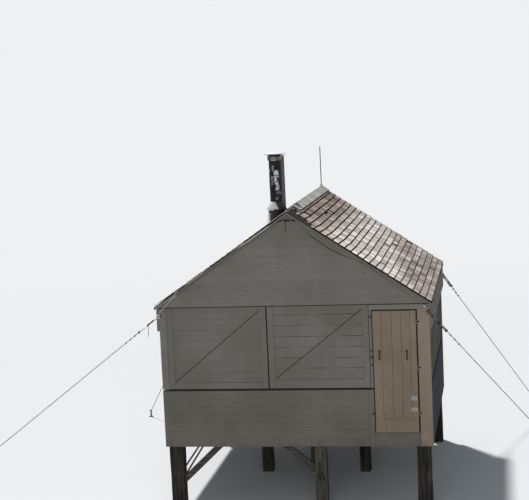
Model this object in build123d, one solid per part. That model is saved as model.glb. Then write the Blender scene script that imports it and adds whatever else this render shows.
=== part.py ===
from build123d import *
import os
from math import atan, cos, degrees, hypot, radians, sin, tan

# Fire lookout cab on timber posts, held down by steel cables. Millimetres, +Z up.
# The origin is on level ground under the middle of the cab. The door side faces -Y.

# Cab
cab_width = 4267
cab_depth = 4267
wall_thickness = 120
wall_height = 2268              # underside of the cab to the top of the wall plates
sill_height = 930               # underside of the cab to the top of the lower walls
post_height = 1000              # level ground to the underside of the cab

# Floor
floor_beam_width = 140
floor_beam_height = 190
joist_width = 45
joist_height = 140
joist_spacing = 500
deck_thickness = 25

# Roof
roof_rise = 8                   # rise and run of the slopes
roof_run = 12
roof_thickness = 60
eave_overhang = 45
verge_overhang = 119
gable_projection = 80
gable_bearing = 20              # how far the gable walls reach back over the wall plates
shingle_exposure = 111
shingle_butt = 12
ridge_board_width = 143
ridge_board_thickness = 20
ridge_cap_setback = 670         # the boards at the front end of the ridge are missing
ceiling_thickness = 18
bare_patch_length = 300         # shingles missing along the front verge, below the ridge
bare_patch_courses = 4

# Shutters
corner_board = 110
shutter_recess = 50             # how deep the shutters sit behind the corner boards
shutter_board = 18              # thickness of the backing boards and of the frame on them
shutter_stile = 97
shutter_bottom_rail = 130
shutter_top_rail = 66
shutter_brace_width = 132
shutter_gap = 20
shutter_clearance = 6
side_shutter_top = 1880         # underside of the cab to the boards under the eaves
frieze_projection = 40          # how far those boards stand out from the side walls

# Windows behind the shutters
window_margin = 60
window_mullion = 90
sash_width = 45
sash_thickness = 35
pane_thickness = 5
sash_setback = 20               # from the inner face of the wall

# Door
door_side_width = 197           # wall between the door's right jamb and the corner
door_post_width = 40
door_width = 684
door_gap = 8
door_thickness = 38
door_stop_width = 18
door_stop_gap = 7
door_opening_height = 2168      # underside of the cab to the board over the door
door_threshold_gap = 10
kick_board_top = 430            # underside of the cab to the top of the board at the door's foot
kick_board_thickness = 14
kick_board_margin = 6
hinge_heights = (530, 1252, 1974)
hinge_length = 60
hinge_leaf_width = 30
hinge_leaf_thickness = 3
knuckle_radius = 8
hinge_pin_radius = 4
hinge_play = 0.4
handle_height = 145
handle_centre = 1454
handle_inset = 100              # edge of the door to the left pull
handle_spacing = 426
handle_rod = 18
handle_standoff = 38

# Posts and knee braces
post_width = 228
middle_post_width = 190
post_inset = 40
post_chamfer = 14
front_middle_post_x = 350
middle_post_x = 850
brace_width = 100
brace_thickness = 45
brace_drop = 630
brace_run = 675
middle_brace_drop = 460
middle_brace_run = 545
batten_size = 28                # two thin battens beside each corner post's brace
batten_drops_and_runs = ((385, 275), (512, 338))
batten_setback = 65             # middle of the brace to the first batten, and from there to the next
batten_spacing = 45

# Stovepipe and lightning rod
pipe_x = -356
pipe_y = -930
pipe_radius = 100
pipe_wall = 3
pipe_rise = 1000                # above the roof at the pipe's axis
pipe_clearance = 12
pipe_cap_radius = 180
pipe_cap_height = 38
pipe_cap_gap = 34               # top of the pipe to its cap
pipe_cap_leg = 26
pipe_band_radius = 118
pipe_band_height = 66
flashing_sheet = 4
flashing_length = 440           # of the sheet, down the slope
flashing_width = 400
flashing_radius = 172
flashing_neck = 132
flashing_height = 130
storm_collar_radius = 170
storm_collar_top = 108
storm_collar_height = 134
stay_width = 50
stay_thickness = 25
stay_side = 63                  # axis of the pipe to the near face of its stay board, along X
stay_back = 250                 # and to the middle of that board, along Y
rod_radius = 8
rod_height = 730
rod_inset = 120

# Cables
cable_radius = 6.5
cable_height = 2130             # underside of the cab to the eyes at the corners
eye_radius = 30
eye_bar = 9
eye_shank = 50
eye_inset = 35                  # corner of the cab to the eyes in its front and back
shank_radius = 12
front_left_reach = 3960
front_right_reach = 2770
front_reach_forward = 0.25      # share of the reach that runs forward
back_reach = 1810
turnbuckle_start = 75
turnbuckle_length = 320
turnbuckle_width = 56
turnbuckle_bar = 9
turnbuckle_boss = 14
clip_length = 24
clip_width = 34
clip_spacing = 90
gable_cable_drop = 66           # top of the wall plates down to its bolts at the corners
gable_cable_bend = 14
# Share of the half width from the middle, and how far it hangs below the roof there
gable_cable_hang = ((-0.88, 14), (0, 40), (0.17, 102), (0.3, 125), (0.41, 85), (0.54, 24))
anchor_height = 110
anchor_radius = 14
anchor_foot = 8
anchor_foot_radius = 45

# Levels and slopes worked out from the sizes above
base = post_height
sill = base + sill_height
plate = base + wall_height
floor_underside = base + floor_beam_height
floor_top = floor_underside + deck_thickness
slope = roof_rise / roof_run
pitch = degrees(atan(slope))
roof_drop = roof_thickness / cos(radians(pitch))
half_width = cab_width / 2
half_depth = cab_depth / 2
gable_top = plate + half_width * slope
ridge = gable_top + roof_drop
front_face = -half_depth
front_inner = front_face + wall_thickness
room_half_width = half_width - wall_thickness
room_half_depth = half_depth - wall_thickness
shutter_left = -half_width + corner_board
door_jamb_right = half_width - door_side_width
door_right = door_jamb_right - door_gap
door_left = door_right - door_width
door_jamb_left = door_left - door_gap
door_post_left = door_jamb_left - door_post_width
front_shutter_width = (door_post_left - shutter_left - shutter_gap) / 2
shutter_depth = 2 * shutter_board


def block(x, y, z):
    """A box from three (low, high) pairs."""
    low, high = zip(x, y, z)
    size = [b - a for a, b in zip(low, high)]
    centre = [(a + b) / 2 for a, b in zip(low, high)]
    return Pos(*centre) * Box(*size)


def prism(points, y_low, y_high):
    """An outline of (x, z) points, drawn out along Y."""
    face = make_face(Polyline(*[(x, y_low, z) for x, z in points], close=True))
    return extrude(face, amount=y_high - y_low, dir=(0, 1, 0))


def rod(start, end, radius):
    """A round bar between two points."""
    axis = Vector(*end) - Vector(*start)
    along = Plane(origin=start, z_dir=axis)
    return along * Cylinder(radius, axis.length, align=(Align.CENTER, Align.CENTER, Align.MIN))


def save(name, shape):
    export_step(shape, "parts/" + name + ".step")


def roof_height(x):
    """Top of the roof over a point at x from the middle."""
    return ridge - abs(x) * slope


# Posts, floor and knee braces
def post(x, y, width):
    timber = block((x - width / 2, x + width / 2), (y - width / 2, y + width / 2), (0, base))
    return chamfer(timber.edges().filter_by(Axis.Z), post_chamfer)


def knee_brace(face_x, direction, drop, run, y, width=brace_width, thickness=brace_thickness):
    """A board from a post's side up to the underside of the cab."""
    angle = atan(drop / run)
    points = [
        (face_x, base - drop),
        (face_x + direction * run, base),
        (face_x + direction * (run - width / sin(angle)), base),
        (face_x, base - drop + width / cos(angle)),
    ]
    return prism(points, y - thickness / 2, y + thickness / 2)


def make_substructure():
    corner_x = half_width - post_inset - post_width / 2
    corner_y = half_depth - post_inset - post_width / 2
    middle_y = half_depth - post_inset - middle_post_width / 2
    save("front_left_post", post(-corner_x, -corner_y, post_width))
    save("front_middle_post", post(front_middle_post_x, -middle_y, middle_post_width))
    save("front_right_post", post(corner_x, -corner_y, post_width))
    save("centre_post", post(0, 0, middle_post_width))
    save("middle_posts", Compound([post(side * middle_post_x, 0, middle_post_width) for side in (-1, 1)]))
    back_posts = [post(side * corner_x, corner_y, post_width) for side in (-1, 1)]
    back_posts.append(post(front_middle_post_x, middle_y, middle_post_width))
    save("back_posts", Compound(back_posts))
    corner_face = -corner_x + post_width / 2
    middle_face = front_middle_post_x - middle_post_width / 2
    for name, side in (("front_knee_braces", -1), ("back_knee_braces", 1)):
        braces = [knee_brace(corner_face, 1, brace_drop, brace_run, side * middle_y)]
        braces.append(knee_brace(middle_face, -1, middle_brace_drop, middle_brace_run, side * middle_y))
        for number, (drop, run) in enumerate(batten_drops_and_runs):
            y = side * (middle_y - batten_setback - number * batten_spacing)
            braces.append(knee_brace(corner_face, 1, drop, run, y, batten_size, batten_size))
        save(name, Compound(braces))


def make_floor():
    room_x = (-room_half_width, room_half_width)
    levels = (base, floor_underside)
    beams = []
    for y in (-room_half_depth, -floor_beam_width / 2, room_half_depth - floor_beam_width):
        beams.append(block(room_x, (y, y + floor_beam_width), levels))
    joist_count = round(2 * room_half_width / joist_spacing) + 1
    joist_step = (2 * room_half_width - joist_width) / (joist_count - 1)
    joists = []
    for number in range(joist_count):
        x = -room_half_width + number * joist_step
        joist_levels = (floor_underside - joist_height, floor_underside)
        joists.append(block((x, x + joist_width), (-room_half_depth, room_half_depth), joist_levels))
    save("floor_frame", beams[0].fuse(*beams[1:], *joists))
    deck = block(room_x, (-room_half_depth, room_half_depth), (floor_underside, floor_top))
    save("floor_deck", deck)


# Walls, drawn facing -Y with the outer face at -half, then turned to their side
def window_places(start, end, count):
    """The (low, high) pairs of the window openings in one shuttered stretch."""
    room = end - start - 2 * window_margin - (count - 1) * window_mullion
    width = room / count
    return [(start + window_margin + n * (width + window_mullion),
             start + window_margin + n * (width + window_mullion) + width) for n in range(count)]


def window_levels(top):
    return (sill + window_margin, top - window_margin)


def cut_windows(wall, half, places, top):
    reach = (-half - 1, -half + wall_thickness + 1)
    return wall.cut(*[block(place, reach, window_levels(top)) for place in places])


def sashes(half, places, top):
    """A frame with its pane in each window opening."""
    inner = -half + wall_thickness - sash_setback
    outer = inner - sash_thickness
    pane_middle = (inner + outer) / 2
    low, high = window_levels(top)
    made = []
    for start, end in places:
        frame = block((start, end), (outer, inner), (low, high))
        hole = block((start + sash_width, end - sash_width), (outer - 1, inner + 1),
                     (low + sash_width, high - sash_width))
        pane = block((start + sash_width, end - sash_width),
                     (pane_middle - pane_thickness / 2, pane_middle + pane_thickness / 2),
                     (low + sash_width, high - sash_width))
        made.append((frame - hole) + pane)
    return made


def shutter(width, height):
    """A boarded shutter: its lower left back corner is at the origin, and it faces -Y."""
    back = block((0, width), (-shutter_board, 0), (0, height))
    proud = (-shutter_depth, -shutter_board)
    inner_x = (shutter_stile, width - shutter_stile)
    inner_z = (shutter_bottom_rail, height - shutter_top_rail)
    frame = block((0, width), proud, (0, height)) - block(inner_x, proud, inner_z)
    angle = atan((inner_z[1] - inner_z[0]) / (inner_x[1] - inner_x[0]))
    drop = shutter_brace_width / cos(angle)
    band = prism([
        (inner_x[0], inner_z[0]),
        (inner_x[1], inner_z[1]),
        (inner_x[1], inner_z[1] - drop),
        (inner_x[0], inner_z[0] - drop),
    ], *proud)
    brace = band & block(inner_x, proud, inner_z)
    return back + frame + brace


def shutter_row(half, places, top):
    """Shutters set into the recess over each (low, high) place."""
    y = -half + shutter_recess
    low = sill + shutter_clearance
    high = top - shutter_clearance
    return [Pos(start, y, low) * shutter(end - start, high - low) for start, end in places]


def plain_places(half_length):
    """Two equal shutters between the corner boards."""
    width = half_length - shutter_gap / 2
    return [(-half_length, -half_length + width), (half_length - width, half_length)]


def make_front():
    outer = (front_face, front_inner)
    recessed = (front_face + shutter_recess, front_inner)
    save("front_lower_wall", block((-half_width, door_jamb_left), outer, (base, sill)))
    places = [(shutter_left, shutter_left + front_shutter_width),
              (door_post_left - front_shutter_width, door_post_left)]
    wall = block((-half_width, shutter_left), outer, (sill, plate))
    wall += block((shutter_left, door_post_left), recessed, (sill, plate))
    windows = [place for start, end in places for place in window_places(start, end, 2)]
    save("front_window_wall", cut_windows(wall, half_depth, windows, plate))
    stop = (front_face + door_thickness + door_stop_gap, front_inner)
    head = base + door_opening_height
    door_post = block((door_post_left, door_jamb_left), outer, (sill, head))
    door_post += block((door_jamb_left, door_jamb_left + door_stop_width), stop, (sill, head))
    save("door_post", door_post)
    right = block((door_jamb_right, half_width), outer, (base, head))
    right += block((door_jamb_right - door_stop_width, door_jamb_right), stop, (floor_top, head))
    save("front_right_wall", right)
    over = block((door_post_left, half_width), outer, (head, plate))
    over += block((door_jamb_left + door_stop_width, door_jamb_right - door_stop_width), stop,
                  (head - door_stop_width, head))
    save("door_head", over)
    save("door_sill", block((door_jamb_left, door_jamb_right), outer, (base, floor_top)))
    left_shutter, right_shutter = shutter_row(half_depth, places, plate)
    save("front_left_shutter", left_shutter)
    save("front_right_shutter", right_shutter)
    return sashes(half_depth, windows, plate)


def make_back():
    turn = Rot(0, 0, 180)
    outer = (front_face, front_inner)
    recessed = (front_face + shutter_recess, front_inner)
    save("back_lower_wall", turn * block((-half_width, half_width), outer, (base, sill)))
    places = plain_places(half_width - corner_board)
    wall = block((-half_width, -half_width + corner_board), outer, (sill, plate))
    wall += block((half_width - corner_board, half_width), outer, (sill, plate))
    wall += block((-half_width + corner_board, half_width - corner_board), recessed, (sill, plate))
    windows = [place for start, end in places for place in window_places(start, end, 2)]
    save("back_window_wall", turn * cut_windows(wall, half_depth, windows, plate))
    save("back_shutters", turn * Compound(shutter_row(half_depth, places, plate)))
    return [turn * sash for sash in sashes(half_depth, windows, plate)]


def under_eave(length, outer, inner, low):
    """A stretch of side wall up to the underside of the roof."""
    face = make_face(Polyline(
        (length[0], outer, low),
        (length[0], outer, gable_top + outer * slope),
        (length[0], inner, gable_top + inner * slope),
        (length[0], inner, low),
        close=True,
    ))
    return extrude(face, amount=length[1] - length[0], dir=(1, 0, 0))


def make_side(name, turn):
    top = base + side_shutter_top
    outer = (-half_width, -half_width + wall_thickness)
    recessed = (-half_width + shutter_recess, outer[1])
    length = (-room_half_depth, room_half_depth)
    save(name + "_lower_wall", turn * block(length, outer, (base, sill)))
    places = plain_places(half_depth - wall_thickness)
    windows = [place for start, end in places for place in window_places(start, end, 2)]
    band = cut_windows(block(length, recessed, (sill, top)), half_width, windows, top)
    bevel = under_eave(length, outer[0], outer[1], top)
    frieze = under_eave((-half_depth, half_depth), outer[0] - frieze_projection, outer[0], top)
    save(name + "_window_wall", turn * (band + bevel + frieze))
    save(name + "_shutters", turn * Compound(shutter_row(half_width, places, top)))
    return [turn * sash for sash in sashes(half_width, windows, top)]


# Door and its ironwork
def make_door():
    low = floor_top + door_threshold_gap
    high = base + door_opening_height - door_gap
    outer = front_face
    leaf = block((door_left, door_right), (outer, outer + door_thickness), (low, high))
    leaf += block((door_left + kick_board_margin, door_right - kick_board_margin),
                  (outer - kick_board_thickness, outer), (low, base + kick_board_top))
    save("door_leaf", leaf)
    pulls = []
    for x in (door_left + handle_inset, door_left + handle_inset + handle_spacing):
        half_pull = (handle_height - handle_rod) / 2
        middle = base + handle_centre
        reach = outer - handle_standoff
        line = FilletPolyline(
            (x, outer, middle - half_pull), (x, reach, middle - half_pull),
            (x, reach, middle + half_pull), (x, outer, middle + half_pull), radius=handle_rod * 1.2)
        pulls.append(sweep(Plane(line @ 0, z_dir=line % 0) * Circle(handle_rod / 2), path=line))
    save("door_handles", Compound(pulls))
    pin_x = (door_right + door_jamb_right) / 2
    pin_y = front_face - knuckle_radius
    leaf_side = []
    frame_side = []
    for height in hinge_heights:
        z = base + height
        leaf_side.append(hinge_leaf(pin_x, pin_y, z, -1))
        frame_side.append(hinge_leaf(pin_x, pin_y, z, 1))
    save("door_hinge_leaves", Compound(leaf_side))
    save("frame_hinge_leaves", Compound(frame_side))


def hinge_leaf(pin_x, pin_y, z, side):
    """Half a hinge: two knuckles on the door's half (side -1), one with the pin on the frame's."""
    third = hinge_length / 3
    spans = [(-hinge_length / 2, -third / 2), (third / 2, hinge_length / 2)]
    if side > 0:
        spans = [(-third / 2 + hinge_play, third / 2 - hinge_play)]
    edge = pin_x + side * (knuckle_radius + hinge_play)
    far = edge + side * hinge_leaf_width
    plate_x = (min(edge, far), max(edge, far))
    plate_y = (front_face - hinge_leaf_thickness, front_face)
    made = block(plate_x, plate_y, (z - hinge_length / 2, z + hinge_length / 2))
    pin = rod((pin_x, pin_y, z - hinge_length / 2), (pin_x, pin_y, z + hinge_length / 2), hinge_pin_radius)
    for start, end in spans:
        knuckle = rod((pin_x, pin_y, z + start), (pin_x, pin_y, z + end), knuckle_radius)
        web_x = (min(pin_x, edge), max(pin_x, edge))
        web = block(web_x, plate_y, (z + start, z + end))
        made += knuckle + web
    if side > 0:
        return made + pin
    bore = rod((pin_x, pin_y, z - hinge_length), (pin_x, pin_y, z + hinge_length),
               hinge_pin_radius + hinge_play)
    return made - bore


# Gables, ceiling and roof
def make_roof():
    triangle = [(-half_width, plate), (half_width, plate), (0, gable_top)]
    face = front_face - gable_projection
    inner = front_face + gable_bearing
    save("front_gable", prism(triangle, face, inner))
    save("back_gable", prism(triangle, -inner, -face))
    save("ceiling", block((-room_half_width, room_half_width), (inner, -inner),
                          (plate, plate + ceiling_thickness)))
    right = roof_slope()
    left = mirror(right, about=Plane.YZ)
    hole = rod((pipe_x, pipe_y, plate), (pipe_x, pipe_y, ridge + roof_thickness), pipe_radius + pipe_clearance)
    save("roof_left", left - hole)
    turned = Pos(0, 0, ridge) * Rot(0, pitch, 0)
    patch = turned * block(
        (ridge_board_width, ridge_board_width + bare_patch_courses * shingle_exposure),
        (front_face - verge_overhang - 1, front_face - verge_overhang + bare_patch_length),
        (-shingle_butt, shingle_butt))
    save("roof_right", right - patch)
    save("ridge_cap", ridge_cap())


def roof_slope():
    """The right slope, with a step at the butt of each course of shingles."""
    eave = half_width + eave_overhang
    length = eave / cos(radians(pitch))
    along = (cos(radians(pitch)), -sin(radians(pitch)))
    normal = (sin(radians(pitch)), cos(radians(pitch)))

    def point(down, depth):
        return (down * along[0] - depth * normal[0], ridge + down * along[1] - depth * normal[1])

    count = int((length - ridge_board_width) / shingle_exposure)
    first = length - count * shingle_exposure
    points = [(0, ridge - roof_drop), (0, ridge)]
    points += [point(first, 0), point(first, shingle_butt)]
    for number in range(1, count + 1):
        butt = first + number * shingle_exposure
        points.append(point(butt, 0))
        if number < count:
            points.append(point(butt, shingle_butt))
    points.append((eave, ridge - roof_drop - eave * slope))
    ends = front_face - verge_overhang
    return prism(points, ends, -ends)


def ridge_cap():
    """Two boards that meet over the ridge."""
    across = ridge_board_width * cos(radians(pitch))
    rise = ridge_board_thickness / cos(radians(pitch))
    points = [
        (0, ridge),
        (across, ridge - across * slope),
        (across, ridge - across * slope + rise),
        (0, ridge + rise),
        (-across, ridge - across * slope + rise),
        (-across, ridge - across * slope),
    ]
    return prism(points, front_face - verge_overhang + ridge_cap_setback, half_depth + verge_overhang)


# Stovepipe with its flashing, cap and stay, and the lightning rod
def make_roof_fittings():
    foot = plate + ceiling_thickness
    top = roof_height(pipe_x) + pipe_rise
    pipe = rod((pipe_x, pipe_y, foot), (pipe_x, pipe_y, top), pipe_radius)
    bore = rod((pipe_x, pipe_y, foot - 1), (pipe_x, pipe_y, top + 1), pipe_radius - pipe_wall)
    save("stovepipe", pipe - bore)
    band_low = top - pipe_band_height
    band = rod((pipe_x, pipe_y, band_low), (pipe_x, pipe_y, top), pipe_band_radius)
    band -= rod((pipe_x, pipe_y, band_low - 1), (pipe_x, pipe_y, top), pipe_radius)
    cap_low = top + pipe_cap_gap
    dome = Pos(pipe_x, pipe_y, cap_low) * Cone(
        pipe_cap_radius, pipe_band_radius / 2, pipe_cap_height, align=(Align.CENTER, Align.CENTER, Align.MIN))
    legs = rod((pipe_x, pipe_y, band_low), (pipe_x, pipe_y, cap_low + 1), pipe_band_radius)
    legs -= rod((pipe_x, pipe_y, band_low - 1), (pipe_x, pipe_y, cap_low + 2), pipe_radius)
    cross = Box(3 * pipe_band_radius, pipe_cap_leg, 3 * pipe_cap_gap)
    legs &= Pos(pipe_x, pipe_y, top) * (cross + Rot(0, 0, 90) * cross)
    save("stovepipe_cap", band + legs + dome)
    save("roof_flashing", flashing())
    stay_x = (pipe_x + stay_side, pipe_x + stay_side + stay_width)
    stay_middle = pipe_y + stay_back
    stay_y = (stay_middle - stay_thickness / 2, stay_middle + stay_thickness / 2)
    stay = prism([
        (stay_x[0], roof_height(stay_x[0])),
        (stay_x[1], roof_height(stay_x[1])),
        (stay_x[1], top),
        (stay_x[0], top),
    ], *stay_y)
    arm = block(stay_x, (pipe_y, stay_y[0]), (band_low, band_low + stay_width))
    arm -= rod((pipe_x, pipe_y, band_low), (pipe_x, pipe_y, top), pipe_band_radius)
    save("stovepipe_stay", stay + arm)
    rod_y = half_depth + verge_overhang - rod_inset
    rod_foot = ridge + ridge_board_thickness / cos(radians(pitch))
    save("lightning_rod", rod((0, rod_y, rod_foot), (0, rod_y, rod_foot + rod_height), rod_radius))


def flashing():
    """A sheet on the left slope with a cone around the pipe, and a storm collar over the cone."""
    x = pipe_x
    seat = roof_height(x)
    on_slope = Pos(x, pipe_y, seat) * Rot(0, -pitch, 0)
    sheet = on_slope * block((-flashing_length / 2, flashing_length / 2),
                             (-flashing_width / 2, flashing_width / 2), (0, flashing_sheet))
    lean = flashing_radius * slope
    cone = Pos(x, pipe_y, seat - lean) * Cone(
        flashing_radius, flashing_neck, flashing_height + lean, align=(Align.CENTER, Align.CENTER, Align.MIN))
    collar = Pos(x, pipe_y, seat + flashing_height) * Cone(
        storm_collar_radius, storm_collar_top, storm_collar_height, align=(Align.CENTER, Align.CENTER, Align.MIN))
    far = 3 * flashing_length
    under = prism([
        (x - far, roof_height(x - far)),
        (x + far / 4, seat + far / 4 * slope),
        (x + far / 4, seat - far),
        (x - far, seat - far),
    ], pipe_y - far, pipe_y + far)
    bore = rod((x, pipe_y, seat - far), (x, pipe_y, seat + far), pipe_radius)
    return sheet + (cone - under) + collar - bore


# Cables that hold the cab down
def guy(side_x, side_y, reach_x, reach_y):
    """Eye bolt at a corner, clips, turnbuckle and cable down to an eye in the ground."""
    eye_x = side_x * (half_width - eye_inset)
    shank_start = Vector(eye_x, side_y * half_depth, base + cable_height)
    shank_end = shank_start + Vector(0, side_y * eye_shank, 0)
    foot = Vector(side_x * (half_width + reach_x), side_y * (half_depth + reach_y), anchor_height)
    heading = Vector(foot.X - shank_end.X, foot.Y - shank_end.Y, 0).normalized()
    top = shank_end + heading * eye_radius
    down = (foot - top).normalized()
    across = down.cross(Vector(0, 0, 1))

    def at(distance):
        return top + down * distance

    def ring(centre):
        upright = Plane(origin=centre, x_dir=down + Vector(0, 0, 1), z_dir=across)
        return upright * Torus(eye_radius, eye_bar)

    frame = Plane(origin=at(turnbuckle_start), x_dir=across, z_dir=down)
    turnbuckle_end = turnbuckle_start + turnbuckle_length
    made = rod(shank_start, shank_end, shank_radius) + ring(top)
    made += rod(at(eye_radius), at(turnbuckle_start), cable_radius)
    for offset in (-1, 1):
        bar = Pos(offset * turnbuckle_width / 2, 0, turnbuckle_length / 2)
        made += frame * bar * Cylinder(turnbuckle_bar, turnbuckle_length)
    for place in (0, turnbuckle_length):
        boss = Box(turnbuckle_width + 3 * turnbuckle_bar, 2 * turnbuckle_boss, 2 * turnbuckle_boss)
        made += frame * Pos(0, 0, place) * boss
    made += rod(at(turnbuckle_end), foot - down * eye_radius, cable_radius)
    for number in range(3):
        place = turnbuckle_length + clip_spacing * (number + 1)
        made += frame * Pos(0, 0, place) * Box(clip_width, clip_width * 0.7, clip_length)
    made += ring(foot)
    made += rod((foot.X, foot.Y, 0), (foot.X, foot.Y, anchor_height - eye_radius), anchor_radius)
    made += rod((foot.X, foot.Y, 0), (foot.X, foot.Y, anchor_foot), anchor_foot_radius)
    return made


def gable_cable():
    """One cable from corner to corner: up under the left edge of the roof, slack on the right."""
    y = front_face - gable_projection - cable_radius
    low = plate - gable_cable_drop
    side = half_width - eye_inset
    points = [(-side, front_face, low), (-side, y, low)]
    for share, drop in gable_cable_hang:
        x = share * half_width
        points.append((x, y, gable_top - abs(x) * slope - drop))
    points += [(side, y, low), (side, front_face, low)]
    line = FilletPolyline(*points, radius=gable_cable_bend)
    return sweep(Plane(line @ 0, z_dir=line % 0) * Circle(cable_radius), path=line)


def make_cables():
    save("front_left_guy", guy(-1, -1, front_left_reach, front_left_reach * front_reach_forward))
    save("front_right_guy", guy(1, -1, front_right_reach, front_right_reach * front_reach_forward))
    save("back_left_guy", guy(-1, 1, back_reach, back_reach))
    save("back_right_guy", guy(1, 1, back_reach, back_reach))
    cable = gable_cable()
    save("front_gable_cable", cable)
    save("back_gable_cable", mirror(cable, about=Plane.XZ))


os.makedirs("parts", exist_ok=True)
make_substructure()
make_floor()
window_sashes = make_front() + make_back()
window_sashes += make_side("left", Rot(0, 0, -90)) + make_side("right", Rot(0, 0, 90))
save("window_sashes", Compound(window_sashes))
make_door()
make_roof()
make_roof_fittings()
make_cables()
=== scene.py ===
import math
import random

import bpy
from mathutils import Matrix, Vector


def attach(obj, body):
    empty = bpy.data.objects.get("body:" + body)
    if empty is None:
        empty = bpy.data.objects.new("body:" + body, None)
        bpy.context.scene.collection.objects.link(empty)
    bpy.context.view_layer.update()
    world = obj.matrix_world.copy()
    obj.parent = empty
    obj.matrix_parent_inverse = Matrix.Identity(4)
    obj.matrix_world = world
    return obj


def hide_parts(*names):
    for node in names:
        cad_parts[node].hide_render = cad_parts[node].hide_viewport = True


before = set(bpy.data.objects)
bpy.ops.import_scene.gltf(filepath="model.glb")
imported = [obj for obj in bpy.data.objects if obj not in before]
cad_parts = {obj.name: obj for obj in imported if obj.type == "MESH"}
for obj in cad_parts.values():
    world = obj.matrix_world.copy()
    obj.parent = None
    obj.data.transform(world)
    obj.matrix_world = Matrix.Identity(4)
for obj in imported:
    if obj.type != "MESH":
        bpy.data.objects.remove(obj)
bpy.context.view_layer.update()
random.seed(14)
print("frame loaded:", len(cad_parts), "nodes")

# The cab's own sizes, in metres, as in the frame
cab = {"half": 2.1335, "base": 1.0, "sill": 1.93, "plate": 3.268, "wall": 0.12}
roofRise, roofRun = 8, 12
roof = {"pitch": math.atan(roofRise / roofRun), "ridge": 4.7624, "eave": 2.1785, "verge": 2.2525, "exposure": 0.111,
        "courses": 22, "gableTop": 4.6903}


class Channel:
    # one number or vector from a node, with maths on it
    def __init__(self, finish, socket):
        self.finish = finish
        self.socket = socket

    def maths(self, operation, first, second=0.0):
        return self.finish.add("ShaderNodeMath", {"operation": operation}, {0: first, 1: second})

    def __add__(self, other):
        return self.maths("ADD", self, other)

    def __sub__(self, other):
        return self.maths("SUBTRACT", self, other)

    def __rsub__(self, other):
        return self.maths("SUBTRACT", other, self)

    def __mul__(self, other):
        return self.maths("MULTIPLY", self, other)

    __radd__ = __add__
    __rmul__ = __mul__

    def size(self):
        return self.maths("ABSOLUTE", self)

    def most(self, other):
        return self.maths("MAXIMUM", self, other)

    def above(self, low, high):
        # 0 below low, 1 above high, smooth between
        return self.finish.add("ShaderNodeMapRange", {"interpolation_type": "SMOOTHSTEP"},
                               {"Value": self, "From Min": low, "From Max": high})

    def below(self, low, high):
        return 1.0 - self.above(low, high)

    def near(self, level, inner, outer):
        # 1 within inner of a level, 0 from outer on
        return (self - level).size().below(inner, outer)

    def fromMiddle(self, step):
        # how far it is from the middle of its step, as a share of the step
        return (self.maths("FRACT", self * (1.0 / step)) - 0.5).size()


class Finish:
    # a material or world, with one method that adds any node to it
    def __init__(self, name, owner=None):
        self.material = owner or bpy.data.materials.new(name)
        self.material.use_nodes = True
        self.tree = self.material.node_tree
        self.surface = self.tree.nodes.get("Principled BSDF") or self.tree.nodes["Background"]

    def feed(self, socket, value):
        if isinstance(value, Channel):
            self.tree.links.new(value.socket, socket)
        elif isinstance(value, tuple) and len(socket.default_value) == 4:
            socket.default_value = (*value, 1.0)
        else:
            socket.default_value = value

    def add(self, kind, settings, values, output=0):
        node = self.tree.nodes.new(kind)
        for key, value in settings.items():
            setattr(node, key, value)
        for key, value in values.items():
            self.feed(node.inputs[key], value)
        return Channel(self, node.outputs[output])

    def split(self, spot):
        return [self.add("ShaderNodeSeparateXYZ", {}, {0: spot}, output=n) for n in range(3)]

    def place(self):
        return self.split(self.add("ShaderNodeTexCoord", {}, {}, output=3))

    def vector(self, spot):
        return self.add("ShaderNodeCombineXYZ", {}, dict(enumerate(spot)))

    def noise(self, spot, scale=1.0, detail=4.0, rough=0.55):
        return self.add("ShaderNodeTexNoise", {},
                        {"Vector": self.vector(spot), "Scale": scale, "Detail": detail, "Roughness": rough})

    def attribute(self, name):
        return self.add("ShaderNodeAttribute", {"attribute_name": name}, {}, output=2)

    def blend(self, factor, first, second, way="MIX"):
        return self.add("ShaderNodeMix", {"data_type": "RGBA", "blend_type": way},
                        {0: factor, 6: first, 7: second}, output=2)

    def scaled(self, colour, factor):
        return self.add("ShaderNodeVectorMath", {"operation": "SCALE"}, {0: colour, 3: factor})

    def seen(self):
        # 1 where the camera looks at it, straight on or by way of metal and glass
        straight, glossy, clear = [self.add("ShaderNodeLightPath", {}, {}, output=n) for n in (0, 3, 6)]
        return straight.most(glossy).most(clear)

    def close(self, colour, rough, height=None, depth=0.002, metal=0.0, shine=0.5):
        for name, value in (("Base Color", colour), ("Roughness", rough), ("Metallic", metal)):
            self.feed(self.surface.inputs[name], value)
        self.surface.inputs["Specular IOR Level"].default_value = shine
        if height is not None:
            bump = self.add("ShaderNodeBump", {}, {"Strength": 1.0, "Distance": depth, "Height": height})
            self.feed(self.surface.inputs["Normal"], bump)
        return self.material


def begun(name):
    # a new finish, and where its points are
    finish = Finish(name)
    return (finish, *finish.place())


# Old pale paint on boards. "upright" turns the grain, "nails" is the spacing of rusty nail heads, "seams" are heights
# where dirt and painted shade sit in a joint, and the last two give the heights and x places of painted shade that
# makes a joint all dark
# the grime colour serves for dirt and for painted shade
paintLook = {"colour": (0.262, 0.236, 0.206), "pale": (0.308, 0.286, 0.256), "bare": (0.135, 0.112, 0.094),
             "grimeAndShade": (0.022, 0.02, 0.02), "rust": (0.17, 0.075, 0.035), "grain": 46.0, "shine": 0.13}


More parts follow.
